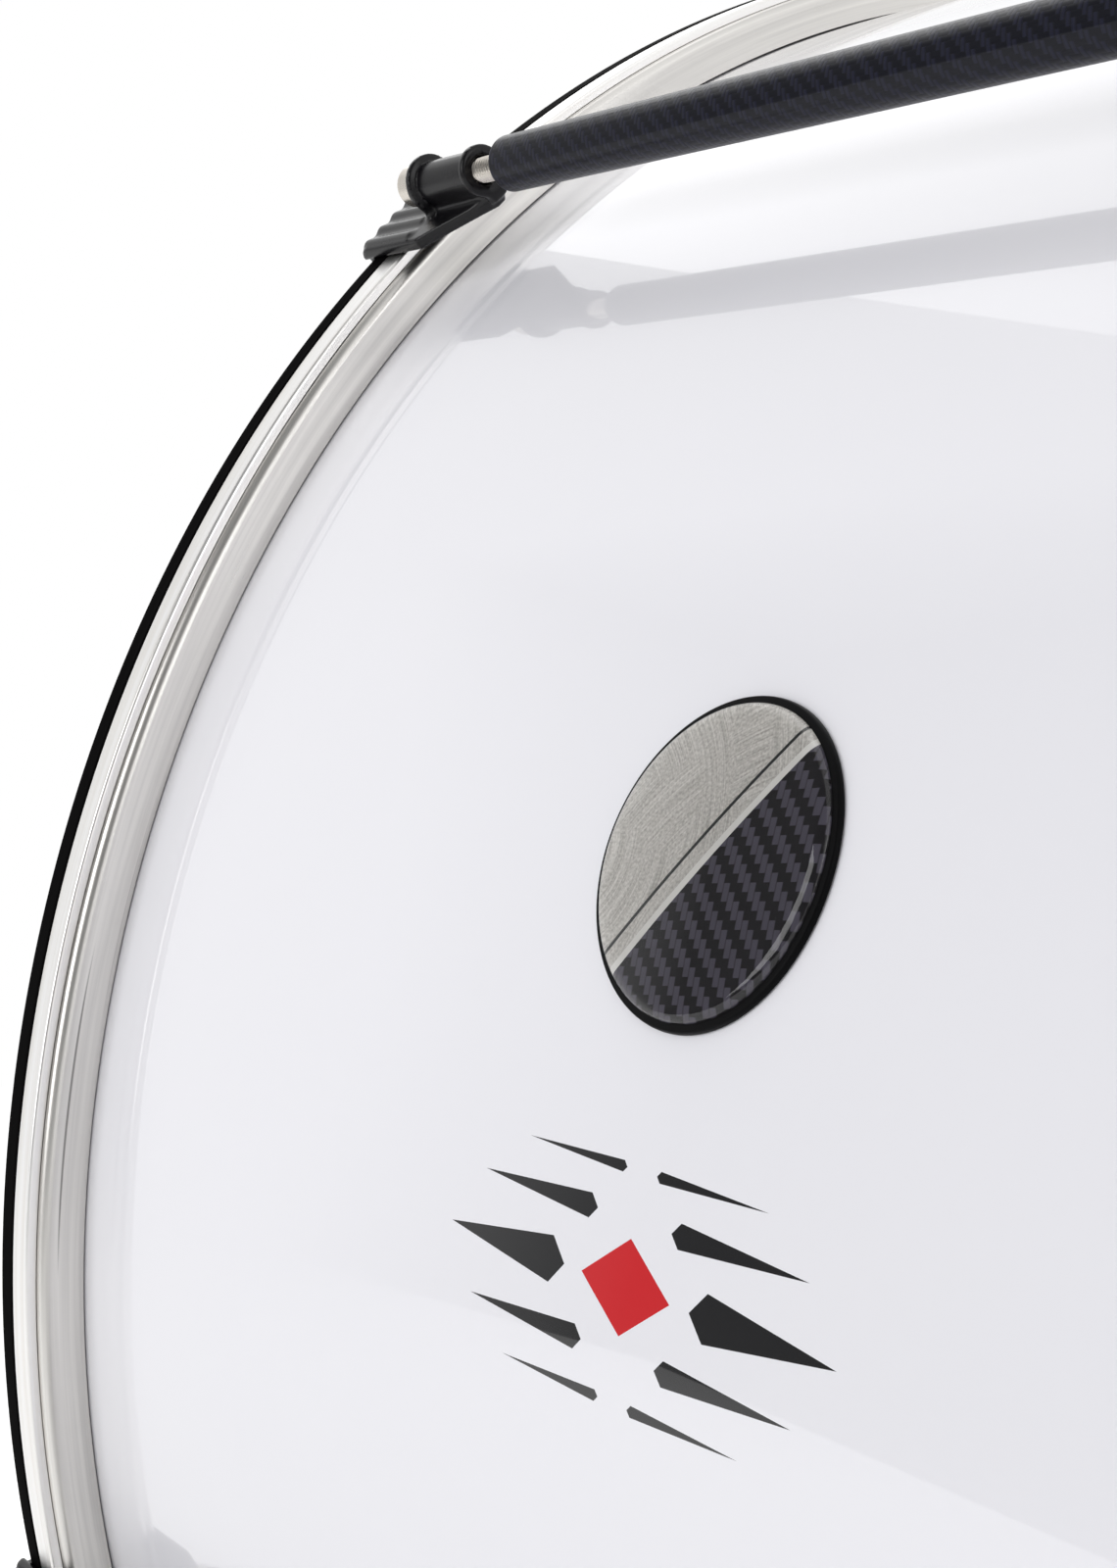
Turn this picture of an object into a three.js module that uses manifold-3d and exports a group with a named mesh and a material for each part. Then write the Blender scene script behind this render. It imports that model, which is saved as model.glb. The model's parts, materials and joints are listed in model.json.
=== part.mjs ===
// Marching bass drum of the 26 inch class, with six carbon tension tubes, in millimetres, +Z up.
// It stands with its axis level along X, on the rim trims of its two hoops, as it does when it is put down:
// rolled until the lowest claws touch the ground. The origin is on the ground under the middle of the drum.
// Angles round the axis are counted from the top towards -Y, the side that faces the viewer.
import * as THREE from "three";
import { mergeVertices } from "three/addons/utils/BufferGeometryUtils.js";
import Module from "manifold-3d";

const wasm = await Module();
wasm.setup();

// Clearances
const seatGap = 0.3; // between pieces that touch, lie in or on each other
const screwClearance = 0.4; // round a screw's shank in a claw
const threadClearance = 0.5; // round a screw's thread in a tube's insert
const overrun = 2; // how far a cutting solid passes the face that it cuts

// Facets: every ring round the drum has the same ones, so that they nest
const stationCount = 6;
const facetsPerStation = 12;
const ringSides = stationCount * facetsPerStation;
const facetAngle = (2 * Math.PI) / ringSides;
const stationAngle = (2 * Math.PI) / stationCount;
const smallSides = 12;
const roundSides = 16;

// Shell and its glued-in reinforcement rings
const shellRadius = 333;
const shellLength = 424;
const shellWall = 4;
const reinforcementDepth = 28;
const reinforcementWall = 8;
const reinforcementSetback = 1.5; // behind the shell's edge, which carries the head

// Flesh hoop, the aluminium ring that holds the head's edge
const fleshHoopDrop = 9.5; // from the shell's edge back to the flesh hoop's rear face
const fleshHoopClearance = 1; // between the shell and the flesh hoop, radially
const fleshHoopWidth = 9.8;
const fleshHoopDepth = 8;
const fleshHoopRoundWidth = 1.8; // the rounded outer corner of its rear face
const fleshHoopRoundDepth = 2.3;

// Drumhead film
const filmThickness = 0.5;

// Counterhoop: an aluminium skirt round the flesh hoop, with a collar that presses on it
const skirtSetback = 2.6; // the skirt starts this far in front of the flesh hoop's rear face
const skirtWall = 2.3;
const collarThickness = 2.2;
const collarReach = 7.5; // how far the collar stands in over the flesh hoop
const rimHeight = 17; // from the flesh hoop's rear face to the rim's outer edge

// Black rim trim, pushed over the skirt's outer edge
const trimDepth = 6.5;
const trimWall = 0.9;
const trimProud = 0.2; // how far the trim stands out over the skirt
const trimLegDepth = 3.5; // the inner leg of the trim

// Claws, one at each end of each tension tube
const footThickness = 3;
const footHalfWidth = 13.5;
const footRearHalfWidth = 5;
const footRearSetback = 2; // the foot plate starts this far behind the sleeve's inner end
const footTaperLength = 21;
const ribCount = 5;
const ribWidth = 4;
const ribHeight = 1.1;
const ribInset = 0.7; // between the last rib and the foot's edge
const hookThickness = 3;
const hookReach = 10.5; // how far the hook comes down over the rim's face
const hookHalfWidth = 12;
const hookChamfer = 3.5;
const sleeveWall = 1.5; // round the screw's bore
const sleeveLipHeight = 1.2; // at the inner end
const sleeveMouthHeight = 2.2; // at the outer end, round the screw's head
const sleeveLipWidth = 2.2;
const sleeveLength = 24.5;
const sleeveSetback = 22; // from the rim's outer edge in to the sleeve's outer end
const pedestalFlare = 0.8; // how much wider the pedestal gets where it meets the foot
const pedestalFlareHeight = 1.4;

// Tension screws with a socket head, M6 in these tubes
const screwShare = 0.46875; // the shank's radius, as a share of the tube's
const screwLength = 55;
const screwTipChamfer = 0.8;
const headOverhang = 2; // how far the head stands out over the shank
const headLength = 6.5;
const headChamfer = 0.7;
const socketShare = 0.5; // the socket's width across flats, as a share of the head's
const socketDepth = 3;
const socketSides = 6;

// Carbon tension tubes and the threaded inserts in their ends
const tubeRadius = 6.4;
const tubeWallShare = 0.21875; // the tube's wall, as a share of its radius
const tubeSetback = 11; // from the sleeve's inner end to the tube
const tubeChamfer = 1.2;
const tubeChamferLength = 1.6;
const insertLength = 25;
const insertSetback = 0.5;

// Round badge, between two tubes
const badgeRadius = 29.2;
const badgeThickness = 1.5;
const badgeAngle = THREE.MathUtils.degToRad(25.87); // from the nearest tube
const domeInset = 1.6;
const domeThickness = 1.6;

// Vent grommet
const ventFacets = 42.5; // facets from the first tube: the middle of a facet at the back
const ventRadius = 6.3;
const grommetBore = 4.6;
const grommetFlange = 9;
const grommetFlangeThickness = 1.2;

// Strap clamps with their rings, on the tube that is uppermost when the drum is carried
const strapStation = 5;
const strapInset = 52; // from a tube's end to the middle of the clamp
const clampWidth = 14;
const clampWall = 2.5;
const lugWidth = 6;
const lugReach = 14.5; // from the tube's axis to the ring's pivot
const lugRadius = 5.2;
const lugHoleRadius = 2.9;
const ringRadius = 10;
const ringWire = 2;
const ringWireSides = 8;
const ringSteps = 20;

// How the drum is rolled: the lowest tube is this many facets past the lowest point
const restFacets = 3.5;

// Sizes that follow
const edgeX = shellLength / 2;
const shellInner = shellRadius - shellWall;
const fleshRearX = edgeX - fleshHoopDrop;
const fleshInner = shellRadius + fleshHoopClearance;
const fleshOuter = fleshInner + fleshHoopWidth;
const fleshFrontX = fleshRearX + fleshHoopDepth;
const hemRearX = fleshFrontX + seatGap;
const hemFrontX = hemRearX + filmThickness;
const filmRearX = edgeX + seatGap;
const filmFrontX = filmRearX + filmThickness;
const collarRearX = hemFrontX + seatGap;
const collarFrontX = collarRearX + collarThickness;
const skirtInner = fleshOuter + seatGap;
const skirtOuter = skirtInner + skirtWall;
const rimX = fleshRearX + rimHeight;
const trimOuter = skirtOuter + trimProud;
const trimRearX = rimX - trimDepth;
const trimSeat = trimOuter - trimWall - seatGap;
const skirtEndX = rimX - trimWall - seatGap;
const footInner = trimOuter + seatGap;
const footOuter = footInner + footThickness;
const tubeInner = tubeRadius * (1 - tubeWallShare);
const screwRadius = tubeRadius * screwShare;
const headRadius = screwRadius + headOverhang;
const socketWidth = 2 * headRadius * socketShare;
const boreRadius = screwRadius + screwClearance;
const sleeveRadius = boreRadius + sleeveWall;
const sleeveLipRadius = sleeveRadius + sleeveLipHeight;
const sleeveMouthRadius = sleeveRadius + sleeveMouthHeight;
const rodHeight = footOuter + sleeveLipRadius;
const hookRearX = rimX + seatGap;
const hookFrontX = hookRearX + hookThickness;
const sleeveFrontX = rimX - sleeveSetback;
const sleeveRearX = sleeveFrontX - sleeveLength;
const footRearX = sleeveRearX + footRearSetback;
const footWideX = footRearX + footTaperLength;
const headRearX = sleeveFrontX + seatGap;
const headFrontX = headRearX + headLength;
const screwTipX = headRearX - screwLength;
const tubeEndX = sleeveRearX - tubeSetback;
const insertRadius = tubeInner - seatGap;
const insertBore = screwRadius + threadClearance;
const insertFrontX = tubeEndX - insertSetback;
const insertRearX = insertFrontX - insertLength;
const halfFacet = Math.cos(facetAngle / 2);
const axisHeight = trimOuter * halfFacet;
const restRoll = Math.PI - stationAngle * 2 - restFacets * facetAngle;
const clampOuter = tubeRadius + seatGap + clampWall;
const clampX = tubeEndX - strapInset;

// Finishes
function finish(colour, roughness, metalness) {
  return new THREE.MeshStandardMaterial({ color: colour, roughness, metalness });
}
const whiteLacquer = finish(0xf2f1f4, 0.12, 0);
const birch = finish(0xcdb084, 0.6, 0);
const whiteFilm = finish(0xf0efea, 0.45, 0);
const brushedAluminium = finish(0xb9b8b6, 0.35, 0.9);
const blackRubber = finish(0x121212, 0.5, 0);
const satinBlack = finish(0x1b1b1d, 0.35, 0.4);
const carbonWeave = finish(0x202127, 0.2, 0.1);
const brightSteel = finish(0xc9c7c3, 0.25, 1);
const paleBrass = finish(0xc8b27a, 0.35, 1);
const badgeSilver = finish(0x9c9b97, 0.3, 0.6);
const clearResin = finish(0x2a2a2c, 0.08, 0);

// Round solid about the X axis: its outline is a closed loop of [radius, x], or starts and ends on the axis
function turned(outline, sides) {
  const points = outline.map(([radius, x]) => new THREE.Vector2(radius, x));
  const geometry = new THREE.LatheGeometry(points, sides);
  return geometry.rotateZ(-Math.PI / 2);
}

function closedLoop(outline) {
  return [...outline, outline[0]];
}

// Round ring about the X axis with a rectangular section
function plainRing(inner, outer, rearX, frontX, sides) {
  const outline = [
    [outer, rearX],
    [outer, frontX],
    [inner, frontX],
    [inner, rearX],
  ];
  return turned(closedLoop(outline), sides);
}

// Solid cylinder along X
function rodAlongX(radius, rearX, frontX, sides) {
  const outline = [
    [0, rearX],
    [radius, rearX],
    [radius, frontX],
    [0, frontX],
  ];
  return turned(outline, sides);
}

// Outline of [y, z] pairs, extruded along X
function extrudedAlongX(outline, rearX, frontX) {
  const shape = new THREE.Shape(outline.map(([y, z]) => new THREE.Vector2(y, z)));
  const geometry = new THREE.ExtrudeGeometry(shape, { depth: frontX - rearX, bevelEnabled: false });
  geometry.rotateX(Math.PI / 2);
  geometry.rotateZ(Math.PI / 2);
  return geometry.translate(rearX, 0, 0);
}

// Outline of [x, y] pairs, extruded along Z
function extrudedAlongZ(outline, lowZ, highZ) {
  const shape = new THREE.Shape(outline.map(([x, y]) => new THREE.Vector2(x, y)));
  const geometry = new THREE.ExtrudeGeometry(shape, { depth: highZ - lowZ, bevelEnabled: false });
  return geometry.translate(0, 0, lowZ);
}

function solidOf(geometry) {
  const bare = geometry.clone();
  bare.deleteAttribute("normal");
  bare.deleteAttribute("uv");
  const merged = mergeVertices(bare);
  const vertProperties = new Float32Array(merged.attributes.position.array);
  const triVerts = new Uint32Array(merged.index.array);
  return new wasm.Manifold(new wasm.Mesh({ numProp: 3, vertProperties, triVerts }));
}

function geometryOf(solid) {
  const made = solid.getMesh();
  const geometry = new THREE.BufferGeometry();
  geometry.setAttribute("position", new THREE.BufferAttribute(new Float32Array(made.vertProperties), 3));
  geometry.setIndex(new THREE.BufferAttribute(new Uint32Array(made.triVerts), 1));
  return geometry;
}

function addMesh(parent, name, geometry, material) {
  const mesh = new THREE.Mesh(geometry, material);
  mesh.name = name;
  parent.add(mesh);
  return mesh;
}

// The part: the drum's own group is rolled to its place of rest, with its axis at hoop height
const part = new THREE.Group();
const drum = new THREE.Group();
drum.position.z = axisHeight;
drum.rotation.x = restRoll;
part.add(drum);

// Shell, a plain cylinder with one vent hole
function shellGeometry() {
  const tube = solidOf(plainRing(shellInner, shellRadius, -edgeX, edgeX, ringSides));
  const drill = new THREE.CylinderGeometry(ventRadius, ventRadius, shellWall * 2 + overrun, roundSides);
  drill.rotateX(Math.PI / 2);
  drill.translate(0, 0, shellRadius - shellWall / 2);
  drill.rotateX(ventFacets * facetAngle);
  return geometryOf(tube.subtract(solidOf(drill)));
}
addMesh(drum, "shell", shellGeometry(), whiteLacquer);

// Vent grommet, flanged on both sides of the shell wall
function grommetGeometry() {
  const wallOuter = shellRadius * halfFacet + seatGap;
  const wallInner = shellInner * halfFacet - seatGap;
  const barrel = ventRadius - seatGap;
  const outline = [
    [grommetFlange, wallInner - grommetFlangeThickness],
    [grommetFlange, wallInner],
    [barrel, wallInner],
    [barrel, wallOuter],
    [grommetFlange, wallOuter],
    [grommetFlange, wallOuter + grommetFlangeThickness],
    [grommetBore, wallOuter + grommetFlangeThickness],
    [grommetBore, wallInner - grommetFlangeThickness],
  ];
  const geometry = turned(closedLoop(outline), roundSides);
  geometry.rotateY(-Math.PI / 2);
  return geometry.rotateX(ventFacets * facetAngle);
}
addMesh(drum, "vent_grommet", grommetGeometry(), paleBrass);

// Round badge: its plate and its clear dome follow the curve of the shell
function badgeLayer(inner, outer, radius) {
  const band = solidOf(plainRing(inner, outer, -badgeRadius - overrun, badgeRadius + overrun, ringSides));
  const punch = new THREE.CylinderGeometry(radius, radius, badgeRadius, roundSides * 2);
  punch.rotateX(Math.PI / 2);
  punch.translate(0, 0, outer);
  punch.rotateX(badgeAngle);
  return geometryOf(band.intersect(solidOf(punch)));
}
const badgeInner = shellRadius + seatGap;
const badgeOuter = badgeInner + badgeThickness;
const domeInner = badgeOuter + seatGap;
const domeRadius = badgeRadius - domeInset;
addMesh(drum, "badge_plate", badgeLayer(badgeInner, badgeOuter, badgeRadius), badgeSilver);
addMesh(drum, "badge_dome", badgeLayer(domeInner, domeInner + domeThickness, domeRadius), clearResin);

// Rings at each end, made for the end at +X
function fleshHoopGeometry() {
  const outline = [
    [fleshOuter - fleshHoopRoundWidth, fleshRearX],
    [fleshOuter, fleshRearX + fleshHoopRoundDepth],
    [fleshOuter, fleshFrontX],
    [fleshInner, fleshFrontX],
    [fleshInner, fleshRearX],
  ];
  return turned(closedLoop(outline), ringSides);
}

// The film lies over the shell's edge, slopes down and out, and its hem lies on the flesh hoop
function drumheadGeometry() {
  const slopeStart = shellRadius + seatGap;
  const hemStart = fleshInner + seatGap;
  const hemEnd = fleshOuter - seatGap;
  const outline = [
    [0, filmRearX],
    [slopeStart, filmRearX],
    [hemStart, hemRearX],
    [hemEnd, hemRearX],
    [hemEnd, hemFrontX],
    [hemStart + seatGap, hemFrontX],
    [slopeStart + seatGap, filmFrontX],
    [0, filmFrontX],
  ];
  return turned(outline, ringSides);
}

function counterhoopGeometry() {
  const outline = [
    [skirtOuter, fleshRearX + skirtSetback],
    [skirtOuter, trimRearX - seatGap],
    [trimSeat, trimRearX - seatGap],
    [trimSeat, skirtEndX],
    [skirtInner, skirtEndX],
    [skirtInner, collarFrontX],
    [skirtInner - collarReach, collarFrontX],
    [skirtInner - collarReach, collarRearX],
    [skirtInner, collarRearX],
    [skirtInner, fleshRearX + skirtSetback],
  ];
  return turned(closedLoop(outline), ringSides);
}

function rimTrimGeometry() {
  const legOuter = skirtInner - seatGap;
  const outline = [
    [trimOuter, trimRearX],
    [trimOuter, rimX],
    [legOuter - trimWall, rimX],
    [legOuter - trimWall, rimX - trimLegDepth],
    [legOuter, rimX - trimLegDepth],
    [legOuter, rimX - trimWall],
    [trimOuter - trimWall, rimX - trimWall],
    [trimOuter - trimWall, trimRearX],
  ];
  return turned(closedLoop(outline), ringSides);
}

function reinforcementGeometry() {
  const outer = shellInner - seatGap;
  const frontX = edgeX - reinforcementSetback;
  return plainRing(outer - reinforcementWall, outer, frontX - reinforcementDepth, frontX, ringSides);
}

// Claw: a sleeve for the screw on a pedestal, on a ribbed foot that lies on the rim and hooks over its face
function ribbedOutline() {
  const outline = [
    [-footHalfWidth, footInner],
    [footHalfWidth, footInner],
    [footHalfWidth, footOuter],
  ];
  const lastRib = footHalfWidth - ribInset - ribWidth / 2;
  const ribPitch = (2 * lastRib) / (ribCount - 1);
  for (let rib = 0; rib < ribCount; rib += 1) {
    const centre = lastRib - rib * ribPitch;
    outline.push([centre + ribWidth / 2, footOuter]);
    outline.push([centre + ribWidth / 4, footOuter + ribHeight]);
    outline.push([centre - ribWidth / 4, footOuter + ribHeight]);
    outline.push([centre - ribWidth / 2, footOuter]);
  }
  outline.push([-footHalfWidth, footOuter]);
  return outline;
}

function clawGeometry() {
  const foot = extrudedAlongX(ribbedOutline(), footWideX, hookFrontX);
  const taper = extrudedAlongZ(
    [
      [footRearX, -footRearHalfWidth],
      [footWideX + overrun, -footHalfWidth],
      [footWideX + overrun, footHalfWidth],
      [footRearX, footRearHalfWidth],
    ],
    footInner,
    footOuter,
  );
  const hook = extrudedAlongX(
    [
      [-hookHalfWidth, footOuter],
      [-hookHalfWidth, footInner - hookReach + hookChamfer],
      [-hookHalfWidth + hookChamfer, footInner - hookReach],
      [hookHalfWidth - hookChamfer, footInner - hookReach],
      [hookHalfWidth, footInner - hookReach + hookChamfer],
      [hookHalfWidth, footOuter],
    ],
    hookRearX,
    hookFrontX,
  );
  const pedestalTop = footOuter + pedestalFlareHeight;
  const pedestalBase = sleeveRadius + pedestalFlare;
  const pedestal = extrudedAlongX(
    [
      [-pedestalBase, footInner + footThickness / 2],
      [pedestalBase, footInner + footThickness / 2],
      [pedestalBase, footOuter],
      [sleeveRadius, pedestalTop],
      [sleeveRadius, rodHeight],
      [-sleeveRadius, rodHeight],
      [-sleeveRadius, pedestalTop],
      [-pedestalBase, footOuter],
    ],
    sleeveRearX,
    sleeveFrontX,
  );
  const sleeve = turned(
    [
      [0, sleeveRearX],
      [sleeveLipRadius, sleeveRearX],
      [sleeveLipRadius, sleeveRearX + sleeveLipWidth],
      [sleeveRadius, sleeveRearX + sleeveLipWidth],
      [sleeveRadius, sleeveFrontX - sleeveLipWidth],
      [sleeveMouthRadius, sleeveFrontX - sleeveLipWidth],
      [sleeveMouthRadius, sleeveFrontX],
      [0, sleeveFrontX],
    ],
    smallSides,
  ).translate(0, 0, rodHeight);
  const bore = rodAlongX(boreRadius, sleeveRearX - overrun, sleeveFrontX + overrun, smallSides);
  bore.translate(0, 0, rodHeight);
  const body = [taper, hook, pedestal, sleeve].reduce((sum, piece) => sum.add(solidOf(piece)), solidOf(foot));
  return geometryOf(body.subtract(solidOf(bore)));
}

// Tension screw: socket head outside the claw, shank through the claw into the tube's insert
function screwGeometry() {
  const outline = [
    [0, screwTipX],
    [screwRadius - screwTipChamfer, screwTipX],
    [screwRadius, screwTipX + screwTipChamfer],
    [screwRadius, headRearX],
    [headRadius, headRearX],
    [headRadius, headFrontX - headChamfer],
    [headRadius - headChamfer, headFrontX],
    [0, headFrontX],
  ];
  const body = turned(outline, smallSides);
  const socketRadius = socketWidth / 2 / Math.cos(Math.PI / socketSides);
  const socket = rodAlongX(socketRadius, headFrontX - socketDepth, headFrontX + overrun, socketSides);
  return geometryOf(solidOf(body).subtract(solidOf(socket)));
}

function insertGeometry() {
  return plainRing(insertBore, insertRadius, insertRearX, insertFrontX, smallSides);
}

// Tension tube, chamfered at both ends
function tubeGeometry() {
  const outline = [
    [tubeRadius - tubeChamfer, -tubeEndX],
    [tubeRadius, -tubeEndX + tubeChamferLength],
    [tubeRadius, tubeEndX - tubeChamferLength],
    [tubeRadius - tubeChamfer, tubeEndX],
    [tubeInner, tubeEndX],
    [tubeInner, -tubeEndX],
  ];
  return turned(closedLoop(outline), smallSides);
}

const ends = [
  { side: "left", turn: Math.PI },
  { side: "right", turn: 0 },
];

for (const { side, turn } of ends) {
  const end = new THREE.Group();
  end.rotation.z = turn;
  drum.add(end);
  addMesh(end, `reinforcement_ring_${side}`, reinforcementGeometry(), birch);
  addMesh(end, `drumhead_${side}`, drumheadGeometry(), whiteFilm);
  addMesh(end, `flesh_hoop_${side}`, fleshHoopGeometry(), brushedAluminium);
  addMesh(end, `counterhoop_${side}`, counterhoopGeometry(), brushedAluminium);
  addMesh(end, `rim_trim_${side}`, rimTrimGeometry(), blackRubber);
}

for (let index = 0; index < stationCount; index += 1) {
  const label = index + 1;
  const station = new THREE.Group();
  station.rotation.x = index * stationAngle;
  drum.add(station);
  addMesh(station, `tension_tube_${label}`, tubeGeometry(), carbonWeave).position.z = rodHeight;
  for (const { side, turn } of ends) {
    const end = new THREE.Group();
    end.rotation.z = turn;
    station.add(end);
    addMesh(end, `claw_${label}_${side}`, clawGeometry(), satinBlack);
    addMesh(end, `tube_insert_${label}_${side}`, insertGeometry(), brightSteel).position.z = rodHeight;
    addMesh(end, `tension_screw_${label}_${side}`, screwGeometry(), brightSteel).position.z = rodHeight;
  }
}

// Strap clamp: a collar on the tube with a lug on the player's side, and a ring that hangs in the lug
function clampGeometry() {
  const collar = rodAlongX(clampOuter, -clampWidth / 2, clampWidth / 2, roundSides);
  const lug = rodAlongX(lugRadius, -lugWidth / 2, lugWidth / 2, roundSides).translate(0, lugReach, 0);
  const web = extrudedAlongX(
    [
      [0, -lugRadius],
      [lugReach, -lugRadius],
      [lugReach, lugRadius],
      [0, lugRadius],
    ],
    -lugWidth / 2,
    lugWidth / 2,
  );
  const seat = rodAlongX(tubeRadius + seatGap, -clampWidth, clampWidth, smallSides);
  const hole = rodAlongX(lugHoleRadius, -lugWidth, lugWidth, roundSides).translate(0, lugReach, 0);
  const body = solidOf(collar).add(solidOf(lug)).add(solidOf(web));
  return geometryOf(body.subtract(solidOf(seat)).subtract(solidOf(hole)));
}

const strapTube = new THREE.Group();
strapTube.rotation.x = strapStation * stationAngle;
drum.add(strapTube);
for (const { side, turn } of ends) {
  const place = Math.cos(turn) * clampX;
  addMesh(strapTube, `strap_clamp_${side}`, clampGeometry(), brightSteel).position.set(place, 0, rodHeight);
  const pivot = new THREE.Group();
  pivot.position.set(place, lugReach, rodHeight);
  pivot.rotation.x = -restRoll - strapStation * stationAngle;
  strapTube.add(pivot);
  const ring = new THREE.TorusGeometry(ringRadius, ringWire, ringWireSides, ringSteps);
  ring.rotateX(Math.PI / 2);
  addMesh(pivot, `strap_ring_${side}`, ring, brightSteel).position.z = -ringRadius;
}

export default part;
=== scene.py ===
# %% [markdown]
# # A marching bass drum with carbon tension tubes
#
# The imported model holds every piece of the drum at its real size, in facets. This lesson gives those
# pieces their true round forms and their finishes: white lacquer, brushed aluminium, woven carbon under
# clear coat, satin black castings, bright screws, and a domed resin badge.
# The drum's axis is level along X, and the ground is at Z zero.

# %% Load the frame
import json
import math

import bmesh
import bpy
import numpy as np
from mathutils import Matrix, Vector


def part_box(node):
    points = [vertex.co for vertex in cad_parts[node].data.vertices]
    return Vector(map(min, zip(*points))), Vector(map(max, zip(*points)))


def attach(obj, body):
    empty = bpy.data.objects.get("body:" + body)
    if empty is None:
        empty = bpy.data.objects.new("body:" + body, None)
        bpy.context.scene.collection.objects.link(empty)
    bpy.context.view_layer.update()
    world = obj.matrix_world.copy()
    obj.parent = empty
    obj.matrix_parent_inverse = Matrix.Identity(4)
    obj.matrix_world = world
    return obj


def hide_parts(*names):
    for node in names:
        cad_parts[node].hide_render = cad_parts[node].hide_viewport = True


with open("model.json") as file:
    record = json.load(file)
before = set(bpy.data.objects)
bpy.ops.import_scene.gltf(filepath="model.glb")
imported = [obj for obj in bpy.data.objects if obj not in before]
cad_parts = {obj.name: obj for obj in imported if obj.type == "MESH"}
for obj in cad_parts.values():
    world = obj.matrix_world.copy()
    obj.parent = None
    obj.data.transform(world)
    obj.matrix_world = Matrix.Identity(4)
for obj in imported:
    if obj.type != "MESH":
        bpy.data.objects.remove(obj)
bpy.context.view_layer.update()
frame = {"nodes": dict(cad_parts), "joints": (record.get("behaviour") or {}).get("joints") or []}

# %% [markdown]
# ## Sizes that the frame gives
#
# Nearly every piece is turned about the drum's axis, or about the axis of one tension tube. So its size
# can be read from its own facets: how far they reach along the axis, and how far from it. A true circle
# that stays inside the facets has their radius times the cosine of half a facet's angle.

# %% Measure the frame
MM = 0.001
shell_low, shell_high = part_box("shell")
axis_height = (shell_low.z + shell_high.z) / 2
hoop_facets = 72
inside_facets = math.cos(math.pi / hoop_facets)


def corners(name):
    mesh = frame["nodes"][name].data
    found = np.empty(len(mesh.vertices) * 3, np.float32)
    mesh.vertices.foreach_get("co", found)
    return found.reshape(-1, 3).astype(float)


def reach(name, y=0.0, z=axis_height):
    """How far a node goes along X, and its least and greatest distance from an axis along X."""
    along, across, up = corners(name).T
    radius = np.hypot(across - y, up - z)
    return along.min(), along.max(), radius.min(), radius.max()


ENDS = ("left", "right")
STATIONS = range(1, 7)
turning = {joint["child"]: joint for joint in frame["joints"]}


def station_angle(station):
    """How far the station's tube is round from the top, towards -Y."""
    _, y, z = turning[f"tension_screw_{station}_right"]["pos_m"]
    return math.atan2(-y, z - axis_height)


_, rod_y, rod_z = turning["tension_screw_1_right"]["pos_m"]
rod_height = math.hypot(rod_y, rod_z - axis_height)
print("Axis at", round(axis_height / MM, 2), "mm; tubes", round(rod_height / MM, 2), "mm from it")
print("Stations at", [round(math.degrees(station_angle(station)), 1) for station in STATIONS], "degrees")

# %% [markdown]
# ## Helpers for node trees
#
# Shader trees and geometry trees are built the same way: add a node, set its constants, and link the
# sockets that other nodes feed. The first helper does all three, so that a tree reads as a list of
# steps. The others are short names for steps that come up again and again.

# %% Helpers for node trees


def put(tree, kind, inputs=None, **settings):
    """Adds a node. Each input is a constant, or another node's socket that is linked to it."""
    made = tree.nodes.new(kind)
    for name, value in settings.items():
        setattr(made, name, value)
    for name, value in (inputs or {}).items():
        if isinstance(value, bpy.types.NodeSocket):
            tree.links.new(value, made.inputs[name])
        else:
            made.inputs[name].default_value = value
    return made


def calc(tree, operation, *values, clamp=False):
    """A Math node's result."""
    node = put(tree, "ShaderNodeMath", dict(enumerate(values)), operation=operation, use_clamp=clamp)
    return node.outputs[0]


def combine(tree, x, y, z=0.0):
    return put(tree, "ShaderNodeCombineXYZ", {"X": x, "Y": y, "Z": z}).outputs[0]


def separate(tree, vector):
    return put(tree, "ShaderNodeSeparateXYZ", {"Vector": vector}).outputs


def mix_values(tree, factor, low, high):
    return put(tree, "ShaderNodeMix", {"Factor": factor, "A": low, "B": high}).outputs["Result"]


def distance(tree, across, up):
    """How far a point with these two coordinates is from the origin."""
    squares = calc(tree, "ADD", calc(tree, "MULTIPLY", across, across), calc(tree, "MULTIPLY", up, up))
    return calc(tree, "SQRT", squares)


def new_group(name, kind, inputs, outputs):
    """An empty node group with named sockets, and its input and output nodes."""
    tree = bpy.data.node_groups.new(name, kind)
    for label, (socket, value) in inputs.items():
        made = tree.interface.new_socket(label, in_out="INPUT", socket_type=f"NodeSocket{socket}")
        if value is not None:
            made.default_value = value
    for label, socket in outputs.items():
        tree.interface.new_socket(label, in_out="OUTPUT", socket_type=f"NodeSocket{socket}")
    return tree, tree.nodes.new("NodeGroupInput").outputs, tree.nodes.new("NodeGroupOutput")


print("Helpers: put, calc, combine, separate, mix_values, distance and new_group")

# %% [markdown]
# ## Coordinates round the drum
#
# Hoops are brushed along their length, so their marks run round the axis. Plain Object coordinates would
# cut straight through the ring. This group turns them into a place along the axis, a distance from it,
# and a direction round it, given as cosine and sine, which meets itself without a seam.

# %% Group: place round the axis


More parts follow.
